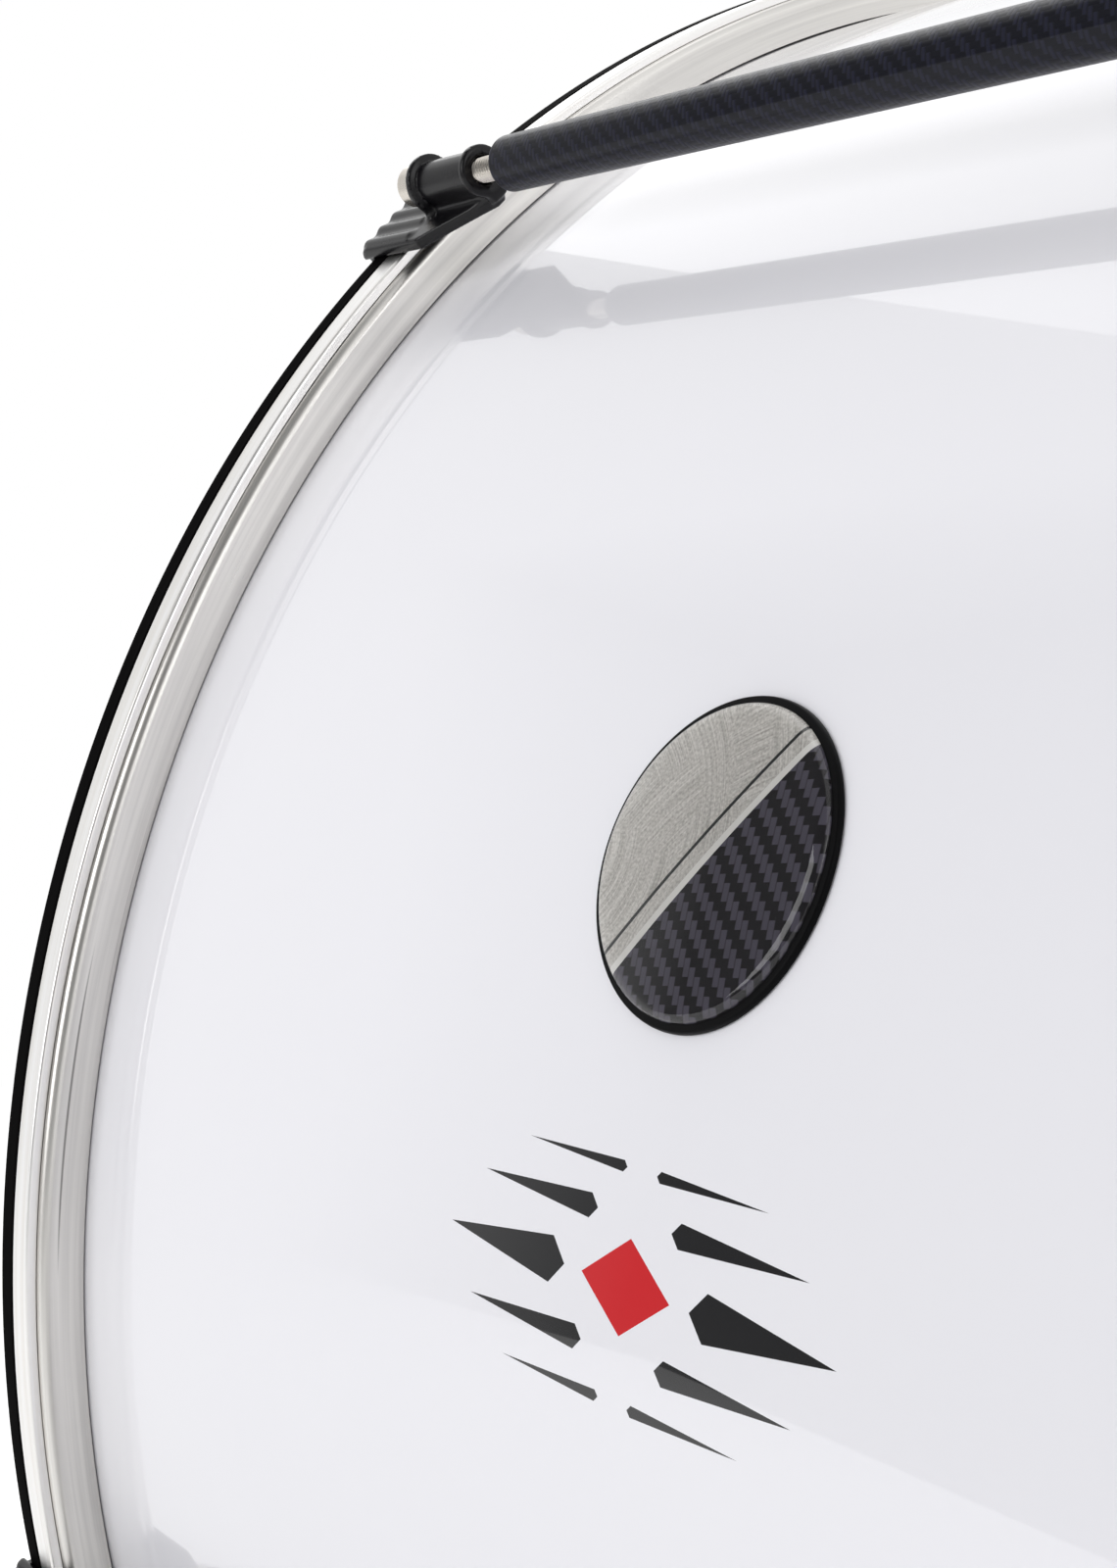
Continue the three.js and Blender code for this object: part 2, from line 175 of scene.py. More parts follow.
def make_round_axis():
    tree, given, result = new_group(
        "Round the axis", "ShaderNodeTree",
        {"Axis height": ("Float", 0.0)},
        {"Along": "Float", "Radius": "Float", "Cosine": "Float", "Sine": "Float", "Angle": "Float"},
    )
    place = separate(tree, put(tree, "ShaderNodeTexCoord").outputs["Object"])
    up = calc(tree, "SUBTRACT", place["Z"], given["Axis height"])
    front = calc(tree, "MULTIPLY", place["Y"], -1.0)
    radius = distance(tree, up, front)
    for label, socket in {
        "Along": place["X"], "Radius": radius, "Cosine": calc(tree, "DIVIDE", up, radius),
        "Sine": calc(tree, "DIVIDE", front, radius), "Angle": calc(tree, "ARCTAN2", front, up),
    }.items():
        tree.links.new(socket, result.inputs[label])
    return tree


round_axis_group = make_round_axis()
print("Group:", round_axis_group.name)

# %% [markdown]
# ## Hairlines
#
# A brushed ring has long fine lines in many widths, some bright and some dark, that fade in and out
# along its length. Four-dimensional noise gives this: two dimensions follow the ring's section at a fine
# scale, and the other two follow the direction round the ring at a coarse scale.

# %% Group: hairlines


def make_hairlines():
    tree, given, result = new_group(
        "Hairlines", "ShaderNodeTree",
        {
            "Axis height": ("Float", 0.0), "Lines per metre": ("Float", 900.0),
            "Lengths per turn": ("Float", 9.0),
        },
        {"Fine": "Float", "Broad": "Float"},
    )
    axis = {"Axis height": given["Axis height"]}
    place = put(tree, "ShaderNodeGroup", axis, node_tree=round_axis_group).outputs

    def streaks(share_of_lines, share_of_turn, detail):
        fine = calc(tree, "MULTIPLY", given["Lines per metre"], share_of_lines)
        turn = calc(tree, "MULTIPLY", given["Lengths per turn"], share_of_turn)
        vector = combine(
            tree, calc(tree, "MULTIPLY", place["Along"], fine), calc(tree, "MULTIPLY", place["Radius"], fine),
            calc(tree, "MULTIPLY", place["Cosine"], turn),
        )
        return put(tree, "ShaderNodeTexNoise", {
            "Vector": vector, "W": calc(tree, "MULTIPLY", place["Sine"], turn),
            "Scale": 1.0, "Detail": detail, "Roughness": 0.6,
        }, noise_dimensions="4D").outputs["Fac"]

    tree.links.new(streaks(1.0, 1.0, 3.0), result.inputs["Fine"])
    tree.links.new(streaks(0.22, 0.4, 2.0), result.inputs["Broad"])
    return tree


hairlines_group = make_hairlines()
print("Group:", hairlines_group.name)

# %% [markdown]
# ## Twill
#
# Carbon cloth is woven in a two by two twill: each tow passes over two tows and under two, and each row
# starts one tow further on, so the weave shows slanting steps. The group takes a place on the cloth in
# metres, and gives which tow is on top, how high it stands, and a fine streak along its fibres.

# %% Group: twill
fibres_per_tow, fibre_breaks_per_tow = 9.0, 0.6


def make_twill():
    tree, given, result = new_group(
        "Twill", "ShaderNodeTree",
        {"U": ("Float", 0.0), "V": ("Float", 0.0), "Tow": ("Float", 1.25 * MM)},
        {"Warp on top": "Float", "Height": "Float", "Fibres": "Float"},
    )
    across = calc(tree, "DIVIDE", given["U"], given["Tow"])
    along = calc(tree, "DIVIDE", given["V"], given["Tow"])
    step = calc(tree, "SUBTRACT", calc(tree, "FLOOR", across), calc(tree, "FLOOR", along))
    warp = calc(tree, "LESS_THAN", calc(tree, "FLOORED_MODULO", step, 4.0), 1.5)

    def crown(value):
        middle = calc(tree, "SUBTRACT", calc(tree, "FRACT", value), 0.5)
        fall = calc(tree, "MULTIPLY", calc(tree, "MULTIPLY", middle, middle), 4.0)
        return calc(tree, "SUBTRACT", 1.0, fall)

    def fibres(fine, coarse):
        vector = combine(tree, calc(tree, "MULTIPLY", fine, fibres_per_tow),
                         calc(tree, "MULTIPLY", coarse, fibre_breaks_per_tow))
        return put(tree, "ShaderNodeTexNoise", {"Vector": vector, "Scale": 1.0, "Detail": 1.0}).outputs["Fac"]

    height = mix_values(tree, warp, crown(along), crown(across))
    streaks = mix_values(tree, warp, fibres(along, across), fibres(across, along))
    for socket, label in ((warp, "Warp on top"), (height, "Height"), (streaks, "Fibres")):
        tree.links.new(socket, result.inputs[label])
    return tree


twill_group = make_twill()
print("Group:", twill_group.name)

# %% [markdown]
# ## Handling marks
#
# Nothing that has been touched is evenly glossy. This group gives a soft mask of smudges and a fine
# grain, which each material adds to its own roughness or height by its own amount.

# %% Group: smudges and grain


def make_handling():
    tree, given, result = new_group(
        "Handling", "ShaderNodeTree",
        {"Smudge size": ("Float", 0.06), "Grain size": ("Float", 0.4 * MM)},
        {"Smudges": "Float", "Grain": "Float"},
    )
    place = put(tree, "ShaderNodeTexCoord").outputs["Object"]
    smudges = put(tree, "ShaderNodeTexNoise", {
        "Vector": place, "Scale": calc(tree, "DIVIDE", 1.0, given["Smudge size"]), "Detail": 5.0,
        "Roughness": 0.62, "Distortion": 0.6,
    })
    grain = put(tree, "ShaderNodeTexNoise", {
        "Vector": place, "Scale": calc(tree, "DIVIDE", 1.0, given["Grain size"]), "Detail": 2.0,
    })
    tree.links.new(smudges.outputs["Fac"], result.inputs["Smudges"])
    tree.links.new(grain.outputs["Fac"], result.inputs["Grain"])
    return tree


handling_group = make_handling()
print("Group:", handling_group.name)

# %% [markdown]
# ## Materials
#
# Every finish is one Principled BSDF. What is the same all over the surface is typed on the shader's own
# sockets, and only what changes over the surface is linked. Each material takes its marks from the
# groups above, with sizes of its own.

# %% Helpers for materials


def new_material(name, **sockets):
    """A material with its Principled shader; each keyword is one of the shader's sockets."""
    material = bpy.data.materials.new(name)
    material.use_nodes = True
    shader = material.node_tree.nodes["Principled BSDF"]
    for label, value in sockets.items():
        shader.inputs[label.replace("_", " ")].default_value = value
    return material, material.node_tree, shader


def blend_colours(tree, factor, low, high):
    mix = put(tree, "ShaderNodeMix", {"Factor": factor}, data_type="RGBA")
    for socket, value in ((mix.inputs[6], low), (mix.inputs[7], high)):
        if isinstance(value, bpy.types.NodeSocket):
            tree.links.new(value, socket)
        else:
            socket.default_value = (*value, 1.0)
    return mix.outputs[2]


def spread(tree, value, low, high, to_low, to_high):
    """Stretches a value from one range to another, and stops at its ends."""
    inputs = {"Value": value, "From Min": low, "From Max": high, "To Min": to_low, "To Max": to_high}
    return put(tree, "ShaderNodeMapRange", inputs).outputs["Result"]


def roughen(tree, shader, height, strength, distance):
    """Gives the shader a bump from a height."""
    bump = put(tree, "ShaderNodeBump", {"Height": height, "Strength": strength, "Distance": distance})
    tree.links.new(bump.outputs["Normal"], shader.inputs["Normal"])


def object_place(tree):
    return separate(tree, put(tree, "ShaderNodeTexCoord").outputs["Object"])


def map_place(tree):
    return separate(tree, put(tree, "ShaderNodeUVMap", uv_map="UVMap").outputs["UV"])


def round_place(tree):
    return put(tree, "ShaderNodeGroup", {"Axis height": axis_height}, node_tree=round_axis_group).outputs


def hairlines(tree, lines_per_metre, lengths_per_turn):
    inputs = {
        "Axis height": axis_height, "Lines per metre": lines_per_metre, "Lengths per turn": lengths_per_turn,
    }
    return put(tree, "ShaderNodeGroup", inputs, node_tree=hairlines_group).outputs


def handling_marks(tree, smudge_size, grain_size):
    inputs = {"Smudge size": smudge_size, "Grain size": grain_size}
    return put(tree, "ShaderNodeGroup", inputs, node_tree=handling_group).outputs


print("Helpers: new_material, blend_colours, spread, roughen, and one for each place and each group")

# %% [markdown]
# ## White lacquer, with a printed ornament
#
# The shell is sprayed white and polished, so it is a bright, faintly violet white under a clear coat,
# with the slow waviness of sprayed lacquer. Below the badge there is a print. Here it is a plain
# pinstripe ornament: tapering black bars on both sides of a red lozenge, all on the cylinder's own
# unrolled surface, measured in metres from the middle of the print.

# %% White lacquer
print_angle = math.radians(80.6)
print_half_width = 52 * MM
# For each pair of bars: its height from the middle, its thickness, and where it starts and ends.
print_bars = (
    (0.0, 9 * MM, 17 * MM, print_half_width),
    (11 * MM, 4.5 * MM, 10 * MM, print_half_width * 0.84),
    (19 * MM, 2 * MM, 4 * MM, print_half_width * 0.62),
)
lozenge_half_width, lozenge_half_height = 12 * MM, 8 * MM
print_black, print_red = (0.008, 0.008, 0.0095), (0.62, 0.012, 0.018)
white_low, white_high = (0.855, 0.852, 0.9), (0.87, 0.866, 0.905)
shell_radius = reach("shell")[3] * inside_facets


def tapering_bars(tree, side, height, middle, thickness, near, far):
    """Bars on every side of the print's middle, each narrowing to a point at its far end."""
    fall = spread(tree, side, near, far, thickness / 2, 0.0)
    gap = calc(tree, "ABSOLUTE", calc(tree, "SUBTRACT", height, middle))
    inside = calc(tree, "LESS_THAN", gap, fall)
    started = calc(tree, "GREATER_THAN", side, calc(tree, "ADD", near, gap))
    return calc(tree, "MULTIPLY", inside, started)


def lozenge(tree, side, height):
    wide = calc(tree, "DIVIDE", side, lozenge_half_width)
    high = calc(tree, "DIVIDE", height, lozenge_half_height)
    return calc(tree, "LESS_THAN", calc(tree, "ADD", wide, high), 1.0)


def make_lacquer():
    material, tree, shader = new_material(
        "White lacquer", Base_Color=(0.86, 0.857, 0.9, 1), Coat_Weight=1.0, Coat_Roughness=0.02,
        Coat_IOR=1.5, Specular_IOR_Level=0.1,
    )
    place = round_place(tree)
    handling = handling_marks(tree, smudge_size=180 * MM, grain_size=9 * MM)
    side = calc(tree, "ABSOLUTE", place["Along"])
    turn = calc(tree, "SUBTRACT", print_angle, place["Angle"])
    height = calc(tree, "ABSOLUTE", calc(tree, "MULTIPLY", turn, shell_radius))
    outside = calc(tree, "GREATER_THAN", place["Radius"], shell_radius - 1 * MM)
    black = 0.0
    for bars in print_bars:
        black = calc(tree, "MAXIMUM", black, tapering_bars(tree, side, height, *bars))
    red = lozenge(tree, side, height)
    white = blend_colours(tree, handling["Smudges"], white_low, white_high)
    printed = blend_colours(tree, calc(tree, "MULTIPLY", black, outside), white, print_black)
    printed = blend_colours(tree, calc(tree, "MULTIPLY", red, outside), printed, print_red)
    tree.links.new(printed, shader.inputs["Base Color"])
    tree.links.new(spread(tree, handling["Smudges"], 0.35, 0.75, 0.16, 0.24), shader.inputs["Roughness"])
    roughen(tree, shader, handling["Grain"], 0.02, 0.5 * MM)
    return material


white_lacquer = make_lacquer()
print("Material:", white_lacquer.name)

# %% [markdown]
# ## Brushed aluminium
#
# The two rings of each hoop are aluminium, brushed along their length. The lines change both the
# colour and the roughness, and stand in the surface as a fine bump. Here and there a single dark line
# remains, where a deeper scratch was not brushed out. The skirt is bright, and the flesh hoop inside it
# has a lower, more satin tone.

# %% Brushed aluminium


def make_aluminium(name, tone, lines):
    """Aluminium brushed round the axis, from its tone and its number of lines in a metre."""
    material, tree, shader = new_material(name, Metallic=1.0, Roughness=0.32)
    marks = hairlines(tree, lines, 7.0)
    scratch = hairlines(tree, lines * 0.7, 3.0)["Broad"]
    smudges = handling_marks(tree, smudge_size=50 * MM, grain_size=0.5 * MM)["Smudges"]
    dark = tuple(share * tone for share in (0.87, 0.85, 0.82))
    bright = tuple(min(share * tone, 0.98) for share in (1.17, 1.145, 1.1))
    scratched = (0.16, 0.15, 0.145)
    streaked = blend_colours(tree, spread(tree, marks["Broad"], 0.3, 0.7, 0, 1), dark, bright)
    streaked = blend_colours(tree, spread(tree, marks["Fine"], 0.62, 0.8, 0, 0.45), streaked, bright)
    streaked = blend_colours(tree, spread(tree, scratch, 0.292, 0.27, 0, 0.75), streaked, scratched)
    tree.links.new(streaked, shader.inputs["Base Color"])
    wear = calc(tree, "ADD", calc(tree, "MULTIPLY", marks["Fine"], 0.18),
                calc(tree, "MULTIPLY", smudges, 0.2))
    tree.links.new(calc(tree, "ADD", wear, 0.14), shader.inputs["Roughness"])
    roughen(tree, shader, marks["Fine"], 0.35, 0.05 * MM)
    return material


hoop_aluminium = make_aluminium("Brushed aluminium", 0.98, 2600.0)
flesh_aluminium = make_aluminium("Satin aluminium", 0.7, 2200.0)
insert_aluminium = make_aluminium("Turned aluminium", 0.6, 4000.0)
print("Materials:", hoop_aluminium.name, flesh_aluminium.name, "and", insert_aluminium.name)

# %% [markdown]
# ## Woven carbon under clear coat
#
# Each tube is wound in twill cloth and coated. The tows that run along the tube and those that run round
# it catch the light differently; here that sheen is painted into the colour: the tows on top one way get
# a lighter grey, brightest along their crowns. The clear coat over them is smooth, and gives the tube its
# sharp reflections. The tube's UV map tells how far round a point is, and its Object coordinates how far
# along, so the weave closes on itself with a whole number of tows.

# %% Woven carbon
tows_round_tube = 32
tube_radius = reach("tension_tube_1", rod_y, rod_z)[3]
tow = 2 * math.pi * tube_radius / tows_round_tube
# The weave starts a metre outside every piece, so that places on the cloth stay positive.
cloth_start = 1.0


def twill(tree, u, v, tow_width):
    return put(tree, "ShaderNodeGroup", {"U": u, "V": v, "Tow": tow_width}, node_tree=twill_group).outputs


def make_carbon():
    material, tree, shader = new_material(
        "Woven carbon", Roughness=0.4, Specular_IOR_Level=0.08, Coat_Weight=0.29, Coat_Roughness=0.03,
        Coat_IOR=1.45,
    )
    along_tube = calc(tree, "ADD", object_place(tree)["X"], cloth_start)
    round_tube = calc(tree, "MULTIPLY", map_place(tree)["X"], tow * tows_round_tube)
    weave = twill(tree, along_tube, round_tube, tow)
    # Painted sheen: the tows on top one way are made lighter, most along their crowns, where real tows would
    # catch the light.
    painted_sheen = calc(tree, "MULTIPLY", weave["Warp on top"], weave["Height"])
    painted_sheen = calc(tree, "MULTIPLY", painted_sheen, spread(tree, weave["Fibres"], 0.3, 0.7, 0.55, 1.0))
    cloth = blend_colours(tree, painted_sheen, (0.0025, 0.0029, 0.0075), (0.0135, 0.0142, 0.031))
    tree.links.new(cloth, shader.inputs["Base Color"])
    roughen(tree, shader, weave["Height"], 0.3, 0.12 * MM)
    return material


woven_carbon = make_carbon()
print("Material:", woven_carbon.name, "with tows", round(tow / MM, 2), "mm wide")

# %% [markdown]
# ## Satin black castings, rim trim, steel, brass and film
#
# The claws are powder coated: black, with a fine skin like orange peel. The rim's trim is smooth black
# plastic. Screws and rings are bright plated steel with fine turning marks, the vent's eyelet is brass,
# and the heads are polyester film with a sprayed white coat.

# %% Black finishes


def make_satin_black():
    material, tree, shader = new_material(
        "Satin black", Base_Color=(0.005, 0.0045, 0.006, 1), Specular_IOR_Level=0.3,
    )
    handling = handling_marks(tree, smudge_size=15 * MM, grain_size=0.55 * MM)
    tone = blend_colours(tree, handling["Smudges"], (0.0028, 0.0026, 0.0034), (0.006, 0.0056, 0.0072))
    tree.links.new(tone, shader.inputs["Base Color"])
    tree.links.new(spread(tree, handling["Smudges"], 0.3, 0.7, 0.2, 0.29), shader.inputs["Roughness"])
    roughen(tree, shader, handling["Grain"], 0.22, 0.06 * MM)
    return material


def make_trim_black():
    material, tree, shader = new_material("Trim black", Specular_IOR_Level=0.004)
    marks = hairlines(tree, 1500.0, 5.0)
    handling = handling_marks(tree, smudge_size=40 * MM, grain_size=0.8 * MM)
    tone = blend_colours(tree, handling["Smudges"], (0.0025, 0.0023, 0.0024), (0.005, 0.0048, 0.005))
    tree.links.new(tone, shader.inputs["Base Color"])
    tree.links.new(spread(tree, marks["Broad"], 0.3, 0.7, 0.5, 0.62), shader.inputs["Roughness"])
    roughen(tree, shader, handling["Grain"], 0.15, 0.05 * MM)
    return material


satin_black = make_satin_black()
trim_black = make_trim_black()
print("Materials:", satin_black.name, "and", trim_black.name)

# %% Bright metals
turning_marks_per_metre = 5200.0


def make_bright(name, low, high, roughness):
    """Plated or polished metal with turning marks along X, and faint smudges."""
    material, tree, shader = new_material(name, Metallic=1.0)
    rings = put(tree, "ShaderNodeTexNoise", {
        "W": calc(tree, "MULTIPLY", object_place(tree)["X"], turning_marks_per_metre),
        "Scale": 1.0, "Detail": 2.0,
    }, noise_dimensions="1D").outputs["Fac"]
    smudges = handling_marks(tree, smudge_size=12 * MM, grain_size=0.3 * MM)["Smudges"]
    tree.links.new(blend_colours(tree, rings, low, high), shader.inputs["Base Color"])
    tree.links.new(spread(tree, smudges, 0.3, 0.75, roughness, roughness + 0.14), shader.inputs["Roughness"])
    roughen(tree, shader, rings, 0.05, 0.03 * MM)
    return material


bright_steel = make_bright("Plated steel", (0.64, 0.59, 0.52), (0.8, 0.765, 0.71), 0.22)
grommet_brass = make_bright("Brass", (0.66, 0.5, 0.24), (0.8, 0.64, 0.36), 0.18)
print("Materials:", bright_steel.name, "and", grommet_brass.name)

# %% Head film and birch


def make_film():
    """White sprayed coat on clear film: grainy over the playing area, smooth on the collar."""
    material, tree, shader = new_material("Coated film")
    handling = handling_marks(tree, smudge_size=110 * MM, grain_size=0.7 * MM)
    radius = round_place(tree)["Radius"]
    coated = spread(tree, radius, shell_radius - 7 * MM, shell_radius - 5 * MM, 1.0, 0.0)
    cloudy = blend_colours(tree, handling["Smudges"], (0.79, 0.78, 0.75), (0.86, 0.855, 0.83))
    tree.links.new(blend_colours(tree, coated, (0.74, 0.735, 0.71), cloudy), shader.inputs["Base Color"])
    tree.links.new(spread(tree, coated, 0, 1, 0.22, 0.5), shader.inputs["Roughness"])
    roughen(tree, shader, calc(tree, "MULTIPLY", handling["Grain"], coated), 0.3, 0.12 * MM)
    return material


def make_birch():
    """Plywood seen on its face: long grain round the ring, with fine pores."""
    material, tree, shader = new_material("Birch", Roughness=0.62)
    marks = hairlines(tree, 900.0, 14.0)
    grain = spread(tree, marks["Broad"], 0.3, 0.7, 0, 1)
    wood = blend_colours(tree, grain, (0.52, 0.36, 0.2), (0.68, 0.51, 0.32))
    tree.links.new(wood, shader.inputs["Base Color"])
    roughen(tree, shader, marks["Fine"], 0.3, 0.15 * MM)
    return material


coated_film = make_film()
birch = make_birch()
print("Materials:", coated_film.name, "and", birch.name)

# %% [markdown]
# ## The badge's print and its clear dome
#
# The badge is a printed metal disc under a drop of clear resin. The print is divided by a slanting line:
# brushed silver on one side, carbon twill on the other, with a dark border. The silver is covered in short
# arcs, as from a spinning brush. The UV map of the disc is in metres from its middle.

# %% Badge materials
badge_border, split_line, pinstripe, pinstripe_gap = 1.7 * MM, 0.7 * MM, 0.35 * MM, 4 * MM
split_angle, cloth_angle = math.radians(52), math.radians(7)
badge_tow = 1.55 * MM


def make_badge_print(radius):
    material, tree, shader = new_material("Badge print", Roughness=0.4, Specular_IOR_Level=0.05)
    on_disc = map_place(tree)
    u, v = on_disc["X"], on_disc["Y"]

    def turned_place(angle):
        """The same place in a frame that is turned by an angle."""
        cosine, sine = math.cos(angle), math.sin(angle)
        first = calc(tree, "ADD", calc(tree, "MULTIPLY", u, cosine), calc(tree, "MULTIPLY", v, sine))
        second = calc(tree, "SUBTRACT", calc(tree, "MULTIPLY", v, cosine), calc(tree, "MULTIPLY", u, sine))
        return first, second

    def blotches(scale, detail):
        inputs = {"Vector": combine(tree, u, v), "Scale": scale, "Detail": detail}
        return put(tree, "ShaderNodeTexNoise", inputs).outputs["Fac"]

    def arcs_about(along, up, width):
        """Hairlines in circles about a point, broken along their length by slow noise."""
        place = combine(tree, calc(tree, "ADD", u, along), calc(tree, "ADD", v, up))
        far = put(tree, "ShaderNodeVectorMath", {0: place}, operation="LENGTH").outputs["Value"]
        slow = put(tree, "ShaderNodeVectorMath", {0: place, 1: (60.0, 60.0, 60.0)}, operation="MULTIPLY")
        return put(tree, "ShaderNodeTexNoise", {
            "W": calc(tree, "DIVIDE", far, width), "Vector": slow.outputs[0], "Scale": 1.0, "Detail": 1.5,
        }, noise_dimensions="4D").outputs["Fac"]

    across = turned_place(split_angle)[1]
    silver_side = calc(tree, "GREATER_THAN", across, 0.0)
    line = calc(tree, "LESS_THAN", calc(tree, "ABSOLUTE", across), split_line)
    beside = calc(tree, "ABSOLUTE", calc(tree, "SUBTRACT", across, pinstripe_gap))
    second = calc(tree, "LESS_THAN", beside, pinstripe)
    border = calc(tree, "GREATER_THAN", distance(tree, u, v), radius - badge_border)
    arcs = mix_values(tree, spread(tree, blotches(70.0, 0.0), 0.44, 0.56, 0, 1),
                      arcs_about(34 * MM, 2 * MM, 0.3 * MM), arcs_about(-30 * MM, 34 * MM, 0.33 * MM))
    speckle = blotches(1800.0, 1.0)
    brushed = calc(tree, "ADD", calc(tree, "MULTIPLY", arcs, 0.55), calc(tree, "MULTIPLY", speckle, 0.45))
    bright = spread(tree, brushed, 0.36, 0.64, 0, 1)
    silver = blend_colours(tree, bright, (0.36, 0.345, 0.325), (0.68, 0.66, 0.635))
    cloth_u, cloth_v = turned_place(cloth_angle)
    weave = twill(tree, calc(tree, "ADD", cloth_u, cloth_start), calc(tree, "SUBTRACT", cloth_start, cloth_v),
                  badge_tow)
    raised = calc(tree, "MULTIPLY", weave["Warp on top"], spread(tree, weave["Height"], 0.0, 0.5, 0.4, 1.0))
    carbon = blend_colours(tree, raised, (0.006, 0.005, 0.0075), (0.07, 0.064, 0.088))
    shown = blend_colours(tree, silver_side, carbon, silver)
    shown = blend_colours(tree, line, shown, (0.72, 0.71, 0.69))
    shown = blend_colours(tree, second, shown, (0.02, 0.02, 0.022))
    shown = blend_colours(tree, border, shown, (0.004, 0.004, 0.0045))
    tree.links.new(shown, shader.inputs["Base Color"])
    roughen(tree, shader, brushed, 0.1, 0.05 * MM)
    return material


def make_resin():
    material, tree, shader = new_material(
        "Clear resin", Base_Color=(0.97, 0.97, 0.96, 1), Roughness=0.015, IOR=1.5, Transmission_Weight=1.0,
    )
    handling = handling_marks(tree, smudge_size=20 * MM, grain_size=4 * MM)
    roughen(tree, shader, handling["Smudges"], 0.04, 0.1 * MM)
    return material


badge_low, badge_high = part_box("badge_plate")
badge_radius = (badge_high.x - badge_low.x) / 2
badge_print = make_badge_print(badge_radius)
clear_resin = make_resin()
print("Materials:", badge_print.name, "and", clear_resin.name)
print("The badge's radius is", round(badge_radius / MM, 1), "mm")

# %% [markdown]
# ## Outlines with rounded corners
#
# No real edge is a knife edge: a small round catches a highlight, and this shows more than anything
# else that a thing is solid. Each outline below is a list of corners, each with its own radius. The
# helper replaces a corner by an arc, and adds one more point on each side, just past the arc, so that
# smooth shading leaves the flat faces flat.

# %% Helper: rounded outline
# An arc takes at most this share of each side. The point past it lies this share of the cut away from
# it, or this far.
longest_cut = 0.48
hold_share, longest_hold = 0.12, 0.1 * MM


def rounded(points, closed=True, steps=5):
    """Points as (along, radius, corner radius). Gives the (along, radius) pairs of the outline."""
    outline = []
    count = len(points)
    for index, (x, r, corner) in enumerate(points):
        here = Vector((x, r))
        if corner == 0 or (not closed and index in (0, count - 1)):
            outline.append(here)
            continue
        before = Vector(points[index - 1][:2]) - here
        after = Vector(points[(index + 1) % count][:2]) - here
        half = before.angle(after) / 2
        cut = min(corner / math.tan(half), before.length * longest_cut, after.length * longest_cut)
        radius = cut * math.tan(half)
        first, last = here + before.normalized() * cut, here + after.normalized() * cut
        centre = here + (before.normalized() + after.normalized()).normalized() * (radius / math.sin(half))
        hold = min(cut * hold_share, longest_hold)
        outline.append(first + before.normalized() * hold)
        start = math.atan2(first.y - centre.y, first.x - centre.x)
        sweep = math.atan2(last.y - centre.y, last.x - centre.x) - start
        sweep = (sweep + math.pi) % (2 * math.pi) - math.pi
        for step in range(steps + 1):
            angle = start + sweep * step / steps
            outline.append(centre + Vector((math.cos(angle), math.sin(angle))) * radius)
        outline.append(last + after.normalized() * hold)
    return outline


print("Helper: rounded")

# %% [markdown]
# ## A tree that turns an outline about the X axis
#
# Shell, hoops, trims, heads, tubes, inserts and screws are all turned, as on a lathe. Blender has a Screw
# modifier for this, but a Geometry Nodes tree of our own also keeps a UV map that tells how far round
# each point is. It lays out a flat grid, looks up each row in the outline, and bends the grid round
# the axis. The two ends of the grid meet, so doubles are merged.

# %% Tree: turn about X


def make_turn_tree():
    tree, given, result = new_group(
        "Turn about X", "GeometryNodeTree",
        {
            "Geometry": ("Geometry", None), "Sides": ("Int", 360), "Rows": ("Int", 4),
            "Finish": ("Material", None),
        },
        {"Geometry": "Geometry"},
    )
    columns = calc(tree, "ADD", given["Sides"], 1.0)
    grid = put(tree, "GeometryNodeMeshGrid", {
        "Size X": 1.0, "Size Y": 1.0, "Vertices X": columns, "Vertices Y": given["Rows"],
    })
    on_grid = separate(tree, put(tree, "GeometryNodeInputPosition").outputs[0])
    turn = calc(tree, "ADD", on_grid["X"], 0.5)
    last_row = calc(tree, "SUBTRACT", given["Rows"], 1.0)
    row = calc(tree, "ROUND", calc(tree, "MULTIPLY", calc(tree, "ADD", on_grid["Y"], 0.5), last_row))
    carrier = put(tree, "GeometryNodeAttributeDomainSize", {"Geometry": given["Geometry"]})
    looked_up = put(tree, "GeometryNodeSampleIndex", {
        "Geometry": given["Geometry"], "Value": put(tree, "GeometryNodeInputPosition").outputs[0],
        "Index": calc(tree, "FLOORED_MODULO", row, carrier.outputs["Point Count"]),
    }, data_type="FLOAT_VECTOR", domain="POINT").outputs["Value"]
    outline = separate(tree, looked_up)
    angle = calc(tree, "MULTIPLY", turn, 2 * math.pi)
    below = calc(tree, "MULTIPLY", outline["Z"], -1.0)
    bent = combine(tree, outline["X"], calc(tree, "MULTIPLY", calc(tree, "SINE", angle), below),
                   calc(tree, "MULTIPLY", calc(tree, "COSINE", angle), outline["Z"]))
    kept = put(tree, "GeometryNodeStoreNamedAttribute", {
        "Geometry": grid.outputs["Mesh"], "Name": "UVMap", "Value": grid.outputs["UV Map"],
    }, data_type="FLOAT2", domain="CORNER")
    placed = put(tree, "GeometryNodeSetPosition", {"Geometry": kept.outputs[0], "Position": bent})
    merged = put(tree, "GeometryNodeMergeByDistance", {"Geometry": placed.outputs[0], "Distance": 0.001 * MM})
    smooth = put(tree, "GeometryNodeSetShadeSmooth", {"Geometry": merged.outputs[0]})
    real = put(tree, "GeometryNodeRealizeInstances", {"Geometry": smooth.outputs[0]})
    finish = put(tree, "GeometryNodeSetMaterial", {"Geometry": real.outputs[0], "Material": given["Finish"]})
    tree.links.new(finish.outputs[0], result.inputs["Geometry"])
    return tree


turn_tree = make_turn_tree()
print("Tree:", turn_tree.name, "with", len(turn_tree.nodes), "nodes")

# %% [markdown]
# ## From a tree to a plain mesh
#
# A finished piece is a plain mesh at the origin, with its place in its vertices. So each tree is run
# once: its inputs are set by the sockets' identifiers, the evaluated object is copied to a new mesh,
# and the object that carried the modifier is removed. Normals are recalculated to point outwards.

# %% Helpers: run a tree, keep a piece


